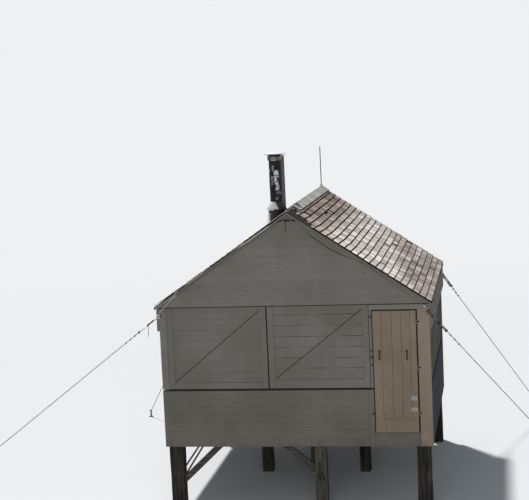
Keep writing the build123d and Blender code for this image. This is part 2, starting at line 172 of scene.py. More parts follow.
def oldPaint(name, look, upright=False, nails=None, seams=None, faint=0.0, shadowLines=(1.921, 3.258, 4.6), edges=()):
    finish, x, y, z = begun(name)
    flat = x + y
    run, cross = (z, flat) if upright else (flat, z)
    grain = finish.noise((run * 1.7, cross * look["grain"], 0.0), detail=6.0, rough=0.62)
    blotch = finish.noise((x, y, z), 1.1, 5.0)
    streak = finish.noise((flat * 7.0, 3.0, z * 0.7))
    fleck = finish.noise((run * 7.0, cross * 26.0, 5.0), detail=5.0, rough=0.7)
    colour = finish.blend(blotch.above(0.36, 0.66), look["colour"], look["pale"])
    colour = finish.scaled(colour, 0.84 + 0.2 * grain + 0.14 * streak + 0.07 * finish.attribute("tone"))
    chip = (fleck + 0.22 * blotch).above(0.745, 0.79)
    colour = finish.blend(0.8 * chip, colour, look["bare"])
    dirtAndShade = (1.0 - z).above(-0.16, 0.0) * streak.above(0.4, 0.75) * 0.35
    # painted shade along the given heights and x places, where overhangs, gaps and joints shade the wall
    for axis, levels, reach in ((z, shadowLines, 0.01), (x, edges, 0.006)):
        for level in levels:
            dirtAndShade = dirtAndShade.most(axis.near(level, reach, 1.8 * reach) * 0.94)
    if nails:
        across = flat.fromMiddle(nails[0]) * nails[0]
        up = (z - cab["base"]).fromMiddle(nails[1]) * nails[1]
        head = (across * across + up * up).below(0.000012, 0.00004)
        colour = finish.blend(head * 0.7, colour, look["rust"])
    if seams is not None:
        # dirt and painted shade in the seams, heavier in places
        filled = finish.noise((flat * 1.4, z * 5.0, 9.0), detail=3.0).above(0.42 + faint, 0.62 + faint)
        for level in seams:
            dirtAndShade = dirtAndShade.most(z.near(level, 0.002, 0.007) * (0.1 - 0.5 * faint + 0.72 * filled))
        # dirt and painted shade in the gap above the diagonal
        u, v = finish.split(finish.add("ShaderNodeUVMap", {"uv_map": "frame"}, {}))[:2]
        dirtAndShade = dirtAndShade.most((v - u).near(0.004, 0.004, 0.012) * v.above(0.0, 0.01) * v.below(0.99, 1.0) * 0.9)
    colour = finish.blend(dirtAndShade, colour, look["grimeAndShade"])
    height = grain * 0.5 - chip * 0.4 + fleck * 0.2
    return finish.close(colour, 0.62 + 0.3 * fleck, height, 0.0022, shine=look["shine"])


def belowRoof(x, z):
    # metres from the plane of the shingles down into the roof
    return (roof["ridge"] - z) * math.cos(roof["pitch"]) - x.size() * math.sin(roof["pitch"])


def cableLine(x, z):
    # the pale wire that runs along the left edge of the roof, between its staples
    deep = 0.006 + 0.056 * x.below(-1.88, -1.75) + 0.036 * x.above(-0.95, -0.58)
    deep = deep + 0.017 * x.above(-1.72, -1.58) * x.below(-1.4, -1.2)
    return belowRoof(x, z).near(deep, 0.006, 0.009) * x.below(-0.33, -0.25)


def atVerge(y):
    return y.size().above(2.248, 2.2495)


# Bare wood, with its grain along one axis, and gaps if it is laid in planks
def bareWood(name, colour, dark, along, depth=0.004, grain=38.0, worn=(0.5, 0.5, 0.5), plank=None, painted=None):
    finish, x, y, z = begun(name)
    sides = {"x": x, "y": y, "z": z}
    run = sides.pop(along)
    first, second = sides.values()
    cross = first + second
    fibre = finish.noise((run * 1.6, cross * grain, 1.0), detail=7.0, rough=0.65)
    crack = finish.noise((run * 0.9, cross * grain * 0.5, 4.0), detail=2.0, rough=0.4)
    patch = finish.noise((x, y, z), 2.1)
    line = crack.near(0.5, 0.002, 0.016)
    tint = finish.blend(fibre.above(0.3, 0.72), dark, colour)
    tint = finish.blend(patch.above(0.55, 0.75) * 0.5, tint, worn)
    tint = finish.scaled(tint, 0.88 + 0.24 * patch + 0.2 * finish.attribute("tone"))
    if plank:
        line = line.most(cross.fromMiddle(plank).below(0.0, 0.03))
    tint = finish.scaled(tint, 1.0 - 0.72 * line)
    if painted:
        # the lower part of the roof's edges is painted like the walls
        tint = finish.blend(belowRoof(x, z).above(painted, painted + 0.002), tint, paintLook["colour"])
        tint = finish.blend(atVerge(y) * cableLine(x, z), tint, shingleLook["cable"])
    return finish.close(tint, 0.78 + 0.15 * fibre, fibre * 0.6 - line, depth, shine=0.15)


# Cedar shingles, bleached in the middle of the slope and browner above and below
# the joint colour is painted shade at butts, gaps and verges; the end colour is a painted highlight
shingleLook = {"pale": (0.88, 0.785, 0.715), "pink": (0.6, 0.495, 0.43), "brown": (0.235, 0.165, 0.125),
               "dark": (0.03, 0.023, 0.02), "joint": (0.014, 0.011, 0.01), "end": (0.95, 0.93, 0.9),
               "cable": (0.85, 0.8, 0.68)}


def shingleWood(look):
    finish, x, y, z = begun("bleachedShingles")
    tone, brown, fromButt, shown, along, width = [
        finish.attribute(name) for name in ("tone", "brown", "fromButt", "shown", "along", "width")]
    grain = finish.noise((x * 5.0, y * 85.0, z * 5.0), 1.0, 5.0, 0.6)
    patch = finish.noise((x, y * 0.8, 2.0), 1.5, 5.0, 0.6)
    down = x.size()
    band = 0.66 * down.below(0.15, 1.1) + 0.46 * (down + 0.1 * y).above(1.3, 1.75)
    warm = band + brown + (patch - 0.5) * 0.9 + (tone - 0.5) * (0.16 + 0.5 * band)
    colour = finish.blend(warm.above(-0.1, 0.8), look["pale"], look["pink"])
    colour = finish.blend(warm.above(0.3, 1.25), colour, look["brown"])
    shade = 0.5 + 0.38 * grain + 0.14 * patch + (0.4 + 0.9 * band) * tone - 0.425 * band
    colour = finish.scaled(colour, shade + 0.36 * tone.above(0.62, 0.95))
    colour = finish.blend(tone.above(1.2, 1.4) * 0.92, colour, look["dark"])
    # painted shadow: dark at each butt and in a strip under the butt of the course above
    toButt = shown - fromButt
    joint = fromButt.below(0.0, 0.006).most(toButt.below(0.017, 0.023) * toButt.above(-0.006, -0.003))
    joint = joint * (0.99 - 0.28 * down.above(0.8, 1.7) * (0.6 + 0.8 * patch) - 0.14 * y.above(0.2, 1.8))
    # painted shade in the gaps between neighbours, widest where the shingles are brown
    toSide = (0.5 - along.size()) * width
    gap = toSide.below(0.01, 0.025) * (0.5 + 0.45 * band.above(0.1, 0.45) + 0.5 * brown)
    joint = joint.most(gap * y.above(-2.2, -1.2))
    # the end grain along the verges, a painted highlight on the left one, with painted shade under the shingles' edge
    side = atVerge(y)
    colour = finish.blend(side * x.below(-0.02, 0.0), colour, look["end"])
    joint = joint.most(side * belowRoof(x, z).above(0.007, 0.009))
    colour = finish.blend(joint, colour, look["joint"])
    colour = finish.blend(side * cableLine(x, z), colour, look["cable"])
    return finish.close(colour, 0.8 + 0.12 * grain, grain, 0.003, shine=0.04)


# Stovepipe: black paint gone in patches down to bare metal, the listed patches bright enough to be painted reflection
# as well. A patch is left, right, low, high and how bare
pipeLook = {"black": (0.012, 0.012, 0.014), "bare": (1.0, 0.98, 0.96), "rust": (0.1, 0.055, 0.035),
            "patches": ((-0.361, -0.294, 5.227, 5.3, 1.0), (-0.366, -0.288, 5.184, 5.209, 0.9),
                        (-0.36, -0.325, 5.115, 5.184, 0.85), (-0.354, -0.295, 5.068, 5.106, 0.9),
                        (-0.33, -0.303, 5.021, 5.067, 0.8), (-0.346, -0.293, 4.978, 5.021, 0.9),
                        (-0.337, -0.264, 4.91, 4.958, 0.22), (-0.353, -0.308, 4.826, 4.87, 0.25),
                        (-0.393, -0.366, 5.302, 5.383, 0.4), (-0.413, -0.387, 5.053, 5.204, 0.4),
                        (-0.459, -0.436, 5.275, 5.327, 0.5))}


def mottledPipe(look):
    finish, x, y, z = begun("mottledPipe")
    worn = finish.noise((x * 22.0, y * 22.0, z * 13.0), rough=0.6)
    fine = finish.noise((x, y, z), 30.0, 5.0, 0.7)
    bare = (worn + 0.2 * fine).above(0.76, 0.84) * 0.7
    ragX, ragZ = x + 0.12 * (fine - 0.5), z + 0.08 * (worn - 0.5)
    # the listed patches: bare metal, brightened as painted reflection
    for left, right, low, high, strength in look["patches"]:
        patch = ragX.above(left - 0.004, left + 0.004) * ragX.below(right - 0.004, right + 0.004)
        patch = patch * ragZ.above(low - 0.005, low + 0.005) * ragZ.below(high - 0.005, high + 0.005)
        bare = bare.most(strength * patch)
    rusty = finish.noise((x, y, z * 0.6), 7.0).above(0.52, 0.7)
    colour = finish.blend(rusty * 0.6, look["black"], look["rust"])
    colour = finish.blend(bare, colour, look["bare"])
    return finish.close(colour, 0.6 - 0.1 * bare + 0.1 * fine, worn * 0.5 + fine * 0.2, 0.004, shine=0.2)


def sheetMetal(name, colour, stain, metal=0.35, darkening=None):
    finish, x, y, z = begun(name)
    spangle = finish.add("ShaderNodeTexVoronoi", {}, {"Vector": finish.vector((x, y, z)), "Scale": 60.0}, output=1)
    streak = finish.noise((x * 14.0, y * 14.0, z * 2.0), detail=5.0)
    dent = finish.noise((x, y, z), 9.0, 3.0)
    tint = finish.blend(0.12, colour, spangle, "SOFT_LIGHT")
    tint = finish.blend(streak.above(0.55, 0.75) * 0.5, tint, stain)
    # darker where the given mask says, in the pipe's black
    if darkening:
        tint = finish.blend(darkening(x, z) * (0.85 + 0.2 * dent), tint, pipeLook["black"])
    return finish.close(tint, 0.42 + 0.2 * streak, dent, 0.006, metal, 0.15 if darkening else 0.5)


def collarShadow(x, z):
    # painted shadow: dark on the collar's right side, and in the gap under the storm collar
    under = z.below(4.652, 4.656)
    slanted = (x + 0.55 * (z - 4.72)).above(-0.335, -0.315).most(x.above(-0.39, -0.37) * z.below(4.66, 4.69))
    return slanted.most(under * x.above(-0.462, -0.446)).most(under * z.above(4.6, 4.61))


def hoodRimDark(x, z):
    # darker on the cap's rim and underside
    return z.below(5.565, 5.569)


def oldIron(name, colour, rust, metal=0.5, along=()):
    # "along" gives the places on x where the colour changes
    finish, x, y, z = begun(name)
    pitted = finish.noise((x, y, z), 55.0, 5.0, 0.7)
    patch = finish.noise((x, y, z), 11.0)
    tint = finish.blend((patch + 0.2 * pitted).above(0.56, 0.74), colour, rust)
    for start, other in along:
        tint = finish.blend(x.above(start, start + 0.05), tint, other)
    return finish.close(finish.scaled(tint, 0.8 + 0.4 * pitted), 0.5 + 0.35 * pitted, pitted, 0.0012, metal)


def paintedBatten(name, colour, bare, edge=None):
    finish, x, y, z = begun(name)
    grain = finish.noise(((x + y) * 60.0, z * 2.0, 0.0), detail=5.0)
    tint = finish.blend(grain.above(0.56, 0.66), colour, bare)
    # painted shade: black beyond the given edge, for the stay's shaded side
    if edge:
        tint = finish.blend(x.above(edge, edge + 0.003), tint, pipeLook["black"])
    return finish.close(tint, 0.7 + 0.1 * grain, grain, 0.002)


hinges = {"heights": (1.53, 2.252, 2.974), "pin": 1.9325, "gap": (0.012, 0.01, 0.01)}


def paintedHinge():
    # painted over with the door, and dark across the middle of each hinge
    finish, x, y, z = begun("paintedHinge")
    pitted = finish.noise((x, y, z), 70.0, 5.0, 0.7)
    tint = finish.blend(pitted.above(0.56, 0.66), doorLook["colour"], paintLook["bare"])
    for height in hinges["heights"]:
        gap = z.near(height, 0.008, 0.011) * x.above(hinges["pin"] - 0.006, hinges["pin"] - 0.003)
        tint = finish.blend(gap * 0.95, tint, hinges["gap"])
    return finish.close(tint, 0.6 + 0.2 * pitted, pitted, 0.0008, shine=0.2)


def windowGlass():
    finish = Finish("windowGlass")
    dust = finish.noise(finish.place(), 4.0, 5.0)
    finish.surface.inputs["Transmission Weight"].default_value = 0.85
    finish.surface.inputs["IOR"].default_value = 1.45
    return finish.close(finish.scaled((0.75, 0.82, 0.8), 0.85 + 0.2 * dust), 0.04 + 0.3 * dust)


def shadeOf(red, green, blue, **others):
    # the old paint with another tone
    tuned = {**paintLook, **others}
    for key in ("colour", "pale"):
        tuned[key] = tuple(value * share for value, share in zip(paintLook[key], (red, green, blue)))
    return tuned


# Front shutters: left edge, how much fainter the dirt and painted shade in the seams is, and the heights of the seams
# above the foot
frontShutters = {"Left": {"edge": -2.0235, "faint": 0.1, "seams": (0.1, 0.27, 0.441, 0.612, 0.783, 0.95, 1.121)},
                 "Right": {"edge": -0.4035, "faint": 0.0, "seams": (0.142, 0.317, 0.485, 0.656, 0.824, 0.998, 1.172)}}
shutterFoot = 1.936
wallNails = (0.405, 0.13)
# the low look is a darker copy of the paint, painted shade on the lower walls and sill; the door look is the door's own
# warmer paint
shadedLowLook, doorLook = shadeOf(0.86, 0.84, 0.8), shadeOf(1.34, 1.12, 0.93, grain=30.0)
# the blue look is a darker, bluish copy of the paint, painted shade on the right side's lower boards; the side look is
# a lighter, greener copy, painted light on the rest of the right side
shadedBlueLook, litSideLook = shadeOf(0.49, 0.59, 0.73, shine=0.008), shadeOf(1.03, 1.08, 1.03, shine=0.008)
paintAcross = oldPaint("oldPaintAcross", paintLook)
paintUp = oldPaint("oldPaintUpright", paintLook, upright=True)
paintSiding = oldPaint("oldPaintSiding", paintLook, nails=wallNails)
paintLow = oldPaint("oldPaintLowSiding", shadedLowLook, nails=wallNails)
paintLowUp = oldPaint("oldPaintLowUpright", shadedLowLook, upright=True)
paintShadedBlue = oldPaint("oldPaintShadedBlueSide", shadedBlueLook, nails=wallNails, shadowLines=())
paintSide = oldPaint("oldPaintSide", litSideLook, shadowLines=())
paintSideShutter = oldPaint("oldPaintSideShutter", litSideLook, seams=(), shadowLines=())
paintStile = oldPaint("oldPaintStile", paintLook, upright=True, edges=(1.1965,))
paintFrontShutters = {
    side: oldPaint("oldPaintShutter" + side, paintLook, seams=[shutterFoot + seam for seam in own["seams"][1:]],
                   faint=own["faint"]) for side, own in frontShutters.items()}
paintShutter = oldPaint("oldPaintShutter", paintLook, seams=())
# the next three are lighter copies of the paint, painted light: on the strip right of the door, the door head and the
# front wall round the shutters
paintRight = oldPaint("oldPaintRight", shadeOf(1.5, 1.27, 1.08), upright=True, shadowLines=(), edges=(1.9365,))
paintHead = oldPaint("oldPaintHead", shadeOf(1.22, 1.22, 1.19))
paintFront = oldPaint("oldPaintFrontWall", shadeOf(1.14, 1.14, 1.12), edges=(-0.42, -0.407, 1.2))
paintPanel = oldPaint("oldPaintPanel", shadeOf(0.8, 0.92, 0.86, grain=20.0))
paintDoor = oldPaint("oldPaintDoor", doorLook, upright=True, shadowLines=(3.16,), edges=(1.2445, 1.9285))
darkTimber = bareWood("darkPostTimber", (0.09, 0.078, 0.062), (0.022, 0.018, 0.014), "z", 0.012, 26.0,
                      (0.11, 0.105, 0.09))
# a lighter copy of the post timber, painted light on the posts that stand lit
litPaleTimber = bareWood("litPalePostTimber", (0.17, 0.155, 0.12), (0.07, 0.058, 0.043), "z", 0.012, 22.0,
                      (0.16, 0.18, 0.13))
greyBoard = bareWood("greyBraceBoard", (0.17, 0.16, 0.145), (0.07, 0.063, 0.055), "x", 0.004, 34.0, (0.2, 0.19, 0.18))
floorWood = bareWood("floorWood", (0.2, 0.155, 0.11), (0.09, 0.066, 0.046), "x", 0.003, 30.0, (0.22, 0.19, 0.15), 0.14)
ceilingWood = bareWood("ceilingWood", (0.4, 0.31, 0.2), (0.22, 0.15, 0.09), "y", 0.003, 30.0, (0.42, 0.36, 0.27), 0.1)
# near-black, as painted shade under the shingles' edges and on bare deck; painted like the walls lower down
shadedDeckWood = bareWood("roofDeckShadedWood", (0.016, 0.014, 0.018), (0.006, 0.005, 0.007), "y", 0.005, 26.0,
                    (0.022, 0.02, 0.026), painted=0.03)
ridgeWood = bareWood("ridgeBoardWood", (0.92, 0.9, 0.82), (0.3, 0.28, 0.24), "x", 0.004, 30.0, (0.66, 0.68, 0.54))
shingleFinish = shingleWood(shingleLook)
pipeFinish = mottledPipe(pipeLook)
brightSheet = sheetMetal("brightSheet", (0.8, 0.79, 0.78), (0.45, 0.42, 0.38))
collarSheet = sheetMetal("collarSheet", (1.0, 0.99, 0.98), (0.86, 0.83, 0.8), 0.1, darkening=collarShadow)
capSheet = sheetMetal("capSheet", (0.85, 0.84, 0.88), (0.5, 0.48, 0.5), 0.1, darkening=hoodRimDark)
blackIron = oldIron("blackIron", (0.028, 0.026, 0.025), (0.085, 0.045, 0.028))
bandSheet = oldIron("bandSheet", (0.1, 0.09, 0.09), (0.62, 0.57, 0.44), 0.05)
ropeSteel = oldIron("ropeSteel", (0.3, 0.285, 0.255), (0.17, 0.13, 0.095), 0.35)
gableSteel = oldIron("gableSteel", (0.95, 0.9, 0.78), (0.8, 0.74, 0.6), 0.0,
                     ((-1.84, paintLook["colour"]), (0.3, (0.04, 0.037, 0.035)), (0.86, paintLook["colour"]),
                      (2.03, (0.9, 0.86, 0.76))))
hingeFinish = paintedHinge()
# the stay is black along its right edge, painted shade
stayFinish = paintedBatten("stayBluePaint", (0.26, 0.27, 0.35), (0.3, 0.28, 0.28), -0.2525)
patchFinish = paintedBatten("barePatchTape", (0.52, 0.5, 0.47), (0.42, 0.39, 0.35))
glassFinish = windowGlass()
print("finishes made:", len(bpy.data.materials))


def selectOnly(*pieces):
    bpy.ops.object.select_all(action="DESELECT")
    for piece in pieces:
        piece.select_set(True)
    bpy.context.view_layer.objects.active = pieces[0]


def editAll():
    bpy.ops.object.mode_set(mode="EDIT")
    bpy.ops.mesh.select_all(action="SELECT")


def editDone():
    bpy.ops.object.mode_set(mode="OBJECT")


def bevelAll(width):
    editAll()
    bpy.ops.mesh.bevel(offset=width, segments=1, affect="EDGES")
    editDone()


def settle():
    bpy.ops.object.transform_apply(location=True, rotation=True, scale=True)


def coated(piece, finish):
    piece.data.materials.clear()
    piece.data.materials.append(finish)
    return piece


def smoothed(piece, angle=40):
    bpy.ops.object.shade_smooth_by_angle(angle=math.radians(angle))
    return piece


def stamp(piece, name, value):
    # the same number on every point of a piece
    layer = piece.data.attributes.get(name) or piece.data.attributes.new(name, "FLOAT", "POINT")
    layer.data.foreach_set("value", [value] * len(piece.data.vertices))


def box(low, high, finish):
    bpy.ops.mesh.primitive_cube_add(size=1)
    piece = bpy.context.object
    piece.location = [(a + b) / 2 for a, b in zip(low, high)]
    piece.scale = [b - a for a, b in zip(low, high)]
    settle()
    return coated(piece, finish)


def addBoard(low, high, finish, ease=0.003, tone=None):
    piece = box(low, high, finish)
    if ease:
        bevelAll(ease)
    stamp(piece, "tone", random.uniform(-0.5, 0.5) if tone is None else tone)
    return piece


def linked(name, data):
    piece = bpy.data.objects.new(name, data)
    bpy.context.collection.objects.link(piece)
    return piece


def copied(source, matrix):
    piece = linked(source.name, source.data.copy())
    piece.data.transform(matrix)
    return piece


def joined(name, pieces):
    selectOnly(*pieces)
    if len(pieces) > 1:
        bpy.ops.object.join()
    piece = bpy.context.object
    piece.name = piece.data.name = name
    return piece


def turned(piece, angle):
    piece.data.transform(Matrix.Rotation(math.radians(angle), 4, "Z"))
    return piece


def cutAway(piece, point, normal):
    # takes off what lies on the side the normal points to, and closes the cut
    selectOnly(piece)
    editAll()
    bpy.ops.mesh.bisect(plane_co=point, plane_no=normal, use_fill=True, clear_outer=True)
    editDone()
    return piece


def nodeCopy(node, finish):
    # a merged copy of a node's mesh, to cut and ease
    piece = linked(node + "_copy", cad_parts[node].data.copy())
    selectOnly(piece)
    editAll()
    bpy.ops.mesh.remove_doubles(threshold=0.00002)
    bpy.ops.mesh.dissolve_limited(angle_limit=0.01)
    bpy.ops.mesh.customdata_custom_splitnormals_clear()
    editDone()
    return coated(piece, finish)


def eased(piece, width):
    selectOnly(piece)
    modifier = piece.modifiers.new("ease", "BEVEL")
    modifier.width = width
    modifier.segments = 1
    modifier.limit_method = "ANGLE"
    modifier.angle_limit = math.radians(30)
    bpy.ops.object.modifier_apply(modifier=modifier.name)
    return piece


def handOver(name, pieces, slot, *nodes, body="cab"):
    piece = joined(name, pieces)
    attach(piece, body)
    if nodes:
        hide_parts(*nodes)


def easedNode(node, slot, finish, width=0.003):
    handOver(node + "_dressed", [eased(nodeCopy(node, finish), width)], slot, node)


def lathe(centre, profile, finish, sides=40, closed=False, base=0.0):
    # rings of (radius, height above base) around an upright axis, from the first to the last
    radius, height = profile[0]
    bpy.ops.mesh.primitive_circle_add(vertices=sides, radius=radius, location=(*centre, base + height))
    piece = bpy.context.object
    editAll()
    for nextRadius, nextHeight in profile[1:]:
        bpy.ops.mesh.extrude_region_move(TRANSFORM_OT_translate={"value": (0, 0, nextHeight - height)})
        ratio = nextRadius / radius
        bpy.ops.transform.resize(value=(ratio, ratio, 1), center_override=(*centre, base + nextHeight))
        radius, height = nextRadius, nextHeight
    bpy.ops.mesh.select_all(action="SELECT")
    if closed:
        bpy.ops.mesh.remove_doubles(threshold=0.0001)
    else:
        bpy.ops.mesh.select_all(action="DESELECT")
        bpy.ops.mesh.select_mode(type="EDGE")
        bpy.ops.mesh.select_non_manifold()
        bpy.ops.mesh.edge_face_add()
        bpy.ops.mesh.select_all(action="SELECT")
    bpy.ops.mesh.normals_make_consistent(inside=False)
    editDone()
    settle()
    return smoothed(coated(piece, finish), 35)


# Horizontal boards on the walls and gables, drawn facing -Y and turned to their side
siding = {"exposure": 0.13, "depth": 0.014, "lengths": (2.2, 4.2), "shortest": 0.5, "butt": 0.0005}
frieze = {"foot": 2.88, "top": 3.239, "out": 0.04}
trim = {"corner": 0.11, "left": 1.158, "right": 1.2362, "proud": 0.004, "gap": 0.001, "step": -0.3, "lift": 0.012}
gable = {"face": -2.2135, "panelFoot": 4.6, "panelTop": 4.7, "panelReach": 0.16, "panelDepth": 0.008,
         "panelTone": 0.4, "gap": 0.0004, "clear": 0.001}


def sidingRows(start, end, low, high, face, finish, gap=0.001, lift=0.0):
    boards = []
    level = low
    while level < high - 0.01:
        top = min(level + siding["exposure"], high)
        ends = [start]
        while ends[-1] < end:
            ends.append(min(end, ends[-1] + random.uniform(*siding["lengths"])))
        if len(ends) > 2 and end - ends[-2] < siding["shortest"]:
            ends.pop(-2)
        for left, right in zip(ends, ends[1:]):
            boards.append(addBoard((left, face, level + lift),
                                   (right - siding["butt"], face + siding["depth"], top - gap), finish, gap * 1.6))
        level = top
    return boards


def boardWall(name, node, angle, face, boards, slot="wall_boards", finish=paintAcross):
    # the boards, turned to their side, over what is left of the wall behind them
    normal = Matrix.Rotation(math.radians(angle), 4, "Z") @ Vector((0, -1, 0))
    core = cutAway(nodeCopy(node, finish), normal * -(face + siding["depth"]), normal)
    handOver(name, [core, *(turned(board, angle) for board in boards)], slot, node)


def lowerWalls():
    half, base, sill = cab["half"], cab["base"], cab["sill"]
    skin, second = -half + siding["depth"], base + siding["exposure"]
    start, end = -half + trim["corner"] + trim["gap"], trim["left"] - trim["gap"]
    boards = [addBoard((-half, -half, base), (-half + trim["corner"], skin, sill), paintLowUp),
              addBoard((trim["left"], -half - trim["proud"], base + trim["proud"]), (trim["right"], skin, sill),
                       paintLowUp)]
    boards += sidingRows(start, trim["step"], base, second, -half, paintLow)
    boards += sidingRows(trim["step"], end, base, second, -half, paintLow, lift=trim["lift"])
    boards += sidingRows(start, end, second, sill, -half, paintLow)
    boardWall("front_lower_boards", "front_lower_wall", 0, -half, boards)
    for name, angle, finish, core in (("back", 180, paintLow, paintAcross), ("left", -90, paintLow, paintAcross),
                                      ("right", 90, paintShadedBlue, paintSide)):
        boards = []
        edge = half - cab["wall"]
        if name == "back":
            edge = half - trim["corner"] - 2 * trim["gap"]
            for low, high in ((-half, -edge - 2 * trim["gap"]), (edge + 2 * trim["gap"], half)):
                boards.append(addBoard((low, -half, base), (high, skin, sill), paintLowUp))
        boards += sidingRows(-edge, edge, base, sill, -half, finish)
        boardWall(name + "_lower_boards", name + "_lower_wall", angle, -half, boards, finish=core)
    print("lower walls boarded")


def upperWalls():
    half = cab["half"]
    easedNode("front_window_wall", "wall_boards", paintFront)
    easedNode("back_window_wall", "wall_boards", paintUp)
    face = -half - frieze["out"]
    for name, angle, core in (("left", -90, paintAcross), ("right", 90, paintSide)):
        boards = sidingRows(-half, half, frieze["foot"], frieze["top"], face, paintSiding)
        boardWall(name + "_frieze_boards", name + "_window_wall", angle, face, boards, finish=core)
    for name, finish in (("door_post", paintUp), ("front_right_wall", paintRight), ("door_head", paintHead),
                         ("door_sill", paintLow)):
        easedNode(name, "wall_boards", finish, 0.0025)
    print("upper walls boarded")


def slopeNormal(side):
    return Vector((side * roofRise, 0, roofRun)).normalized()


def gables():
    # boards up to a small triangle that lies a little deeper
    half, face, foot, reach = cab["half"], gable["face"], gable["panelFoot"], gable["panelReach"]
    for name, angle in (("front", 0), ("back", 180)):
        rows = sidingRows(-half, half, cab["plate"], foot, face, paintSiding, gable["gap"])
        rows.append(addBoard((-reach, face + gable["panelDepth"], foot),
                             (reach, face + siding["depth"], gable["panelTop"]), paintPanel, 0.0,
                             gable["panelTone"]))
        boards = joined("rows", rows)
        for side in (-1, 1):
            cutAway(boards, (0, 0, roof["gableTop"] - gable["clear"]), slopeNormal(side))
        boardWall(name + "_gable_boards", name + "_gable", angle, face, [boards], "gable_boards")
    print("gables boarded")


# Shutters: boards behind a frame with one diagonal that thins out towards its lower edge
shutterLook = {"board": 0.018, "stile": 0.097, "topRail": 0.084, "foot": 0.13, "brace": 0.132, "recess": 0.05,
               "thinEdge": 0.0025, "clear": 0.001, "height": 1.326, "frontWidth": 1.6, "middle": 0.01, "seam": 0.168,
               "uneven": 0.006}
# Pairs on the other walls: angle, reach from the middle, height, gap between boards, how far the frame stands out,
# and the finishes of the boards and the frame
pairedShutters = {"back": (180, 2.0235, 1.326, 0.001, 0.018, paintShutter, (paintAcross, paintUp)),
                  "left": (-90, 2.0135, 0.938, 0.0005, 0.006, paintShutter, (paintAcross, paintUp)),
                  "right": (90, 2.0135, 0.938, 0.0005, 0.006, paintSideShutter, (paintSide, paintSide))}


def shutter(name, width, height, seams, finish, gap=0.001, proud=0.018, frames=(paintAcross, paintStile), foot=None):
    look = shutterLook
    board, start, end = look["board"], look["stile"], width - look["stile"]
    front, foot, head = -board - proud, foot or look["foot"], height - look["topRail"]
    levels = [0.0, *seams, height]
    parts = []
    for low, high in zip(levels, levels[1:]):
        ragged = random.uniform(0.0, 0.001)
        parts.append(addBoard((0, -board + ragged, low + gap / 2), (width, ragged, high - gap / 2), finish, gap))
    for left in (0.0, end):
        parts.append(addBoard((left, front, 0), (left + look["stile"], -board, height), frames[1]))
    for low, high in ((0, foot), (head, height)):
        parts.append(addBoard((start + look["clear"], front, low), (end - look["clear"], -board, high), frames[0]))
    rise = head - foot
    drop = look["brace"] / math.cos(math.atan(rise / (end - start)))
    brace = addBoard((start, front, foot - drop), (end, -board, foot), frames[0], 0.0)
    bpy.ops.object.mode_set(mode="EDIT")
    bpy.ops.mesh.select_all(action="DESELECT")
    editDone()
    for face in brace.data.polygons:
        face.select = face.normal.x > 0.9
    bpy.ops.object.mode_set(mode="EDIT")
    bpy.ops.transform.translate(value=(0, 0, rise))
    editDone()
    for vertex in brace.data.vertices:
        spot = vertex.co
        if spot.y < front + 0.001 and spot.z < foot + rise * (spot.x > start + 0.1) - drop / 2:
            spot.y = -board - look["thinEdge"]
    cutAway(brace, (0, 0, foot + look["clear"]), (0, 0, -1))
    parts.append(eased(brace, 0.001))
    made = joined(name, parts)
    layer = made.data.uv_layers.new(name="frame")
    for loop in made.data.loops:
        spot = made.data.vertices[loop.vertex_index].co
        layer.data[loop.index].uv = ((spot.x - start) / (end - start), (spot.z - foot) / rise)
    return made


def evenSeams(height):
    count, uneven = round(height / shutterLook["seam"]), shutterLook["uneven"]
    return [height * n / count + random.uniform(-uneven, uneven) for n in range(1, count)]


def shutters():
    look = shutterLook
    deep = -cab["half"] + look["recess"]
    for side, own in frontShutters.items():
        node, seams = "front_" + side.lower() + "_shutter", own["seams"]
        made = shutter(node + "_boards", look["frontWidth"], look["height"], seams, paintFrontShutters[side],
                       foot=seams[0])
        made.data.transform(Matrix.Translation((own["edge"], deep, shutterFoot)))
        handOver(node + "_boards", [made], "shutter_boards", node)
    for name, (angle, reach, height, gap, proud, finish, frames) in pairedShutters.items():
        pair = []
        for left in (-reach, look["middle"]):
            made = shutter(name, reach - look["middle"], height, evenSeams(height), finish, gap, proud, frames)
            made.data.transform(Matrix.Translation((left, deep, shutterFoot)))
            pair.append(turned(made, angle))
        handOver(name + "_shutter_boards", pair, "shutter_boards", name + "_shutters")
    print("shutters boarded")


# Door: upright boards, a board across its foot, pulls, hinges and two bare patches
doorLeaf = {"left": 1.2445, "right": 1.9285, "low": 1.225, "high": 3.16, "face": -2.1335, "board": 0.03,
            "thick": 0.038, "seams": (1.381, 1.542, 1.687, 1.828), "kickTop": 1.43, "kick": 0.014, "kickEdge": 0.006,
            "gap": 0.003, "patch": (1.812, 1.908), "patchHeight": 0.062, "patchFeet": (1.735, 1.558),
            "patchOut": 0.0015, "patchEase": 0.0005}


def door():
    look = doorLeaf
    face, low, high, left, right = [look[key] for key in ("face", "low", "high", "left", "right")]
    edges = [left, *look["seams"], right]
    parts = [addBoard((left, face + look["board"], low), (right, face + look["thick"], high), paintDoor, 0.001)]
    for start, end in zip(edges, edges[1:]):
        parts.append(addBoard((start + look["gap"] / 2, face, low),
                              (end - look["gap"] / 2, face + look["board"], high), paintDoor))
    parts.append(addBoard((left + look["kickEdge"], face - look["kick"], low),
                          (right - look["kickEdge"], face, look["kickTop"]), paintDoor, 0.003, 0.3))
    handOver("door_boards", parts, "door_boards", "door_leaf", body="door")
    start, end = look["patch"]
    out, ease, height = look["patchOut"], look["patchEase"], look["patchHeight"]
    patches = [addBoard((start, face - out, foot), (end, face + ease, foot + height), patchFinish, ease)
               for foot in look["patchFeet"]]
    handOver("door_bare_patches", patches, "door_boards", body="door")
    print("door boarded")


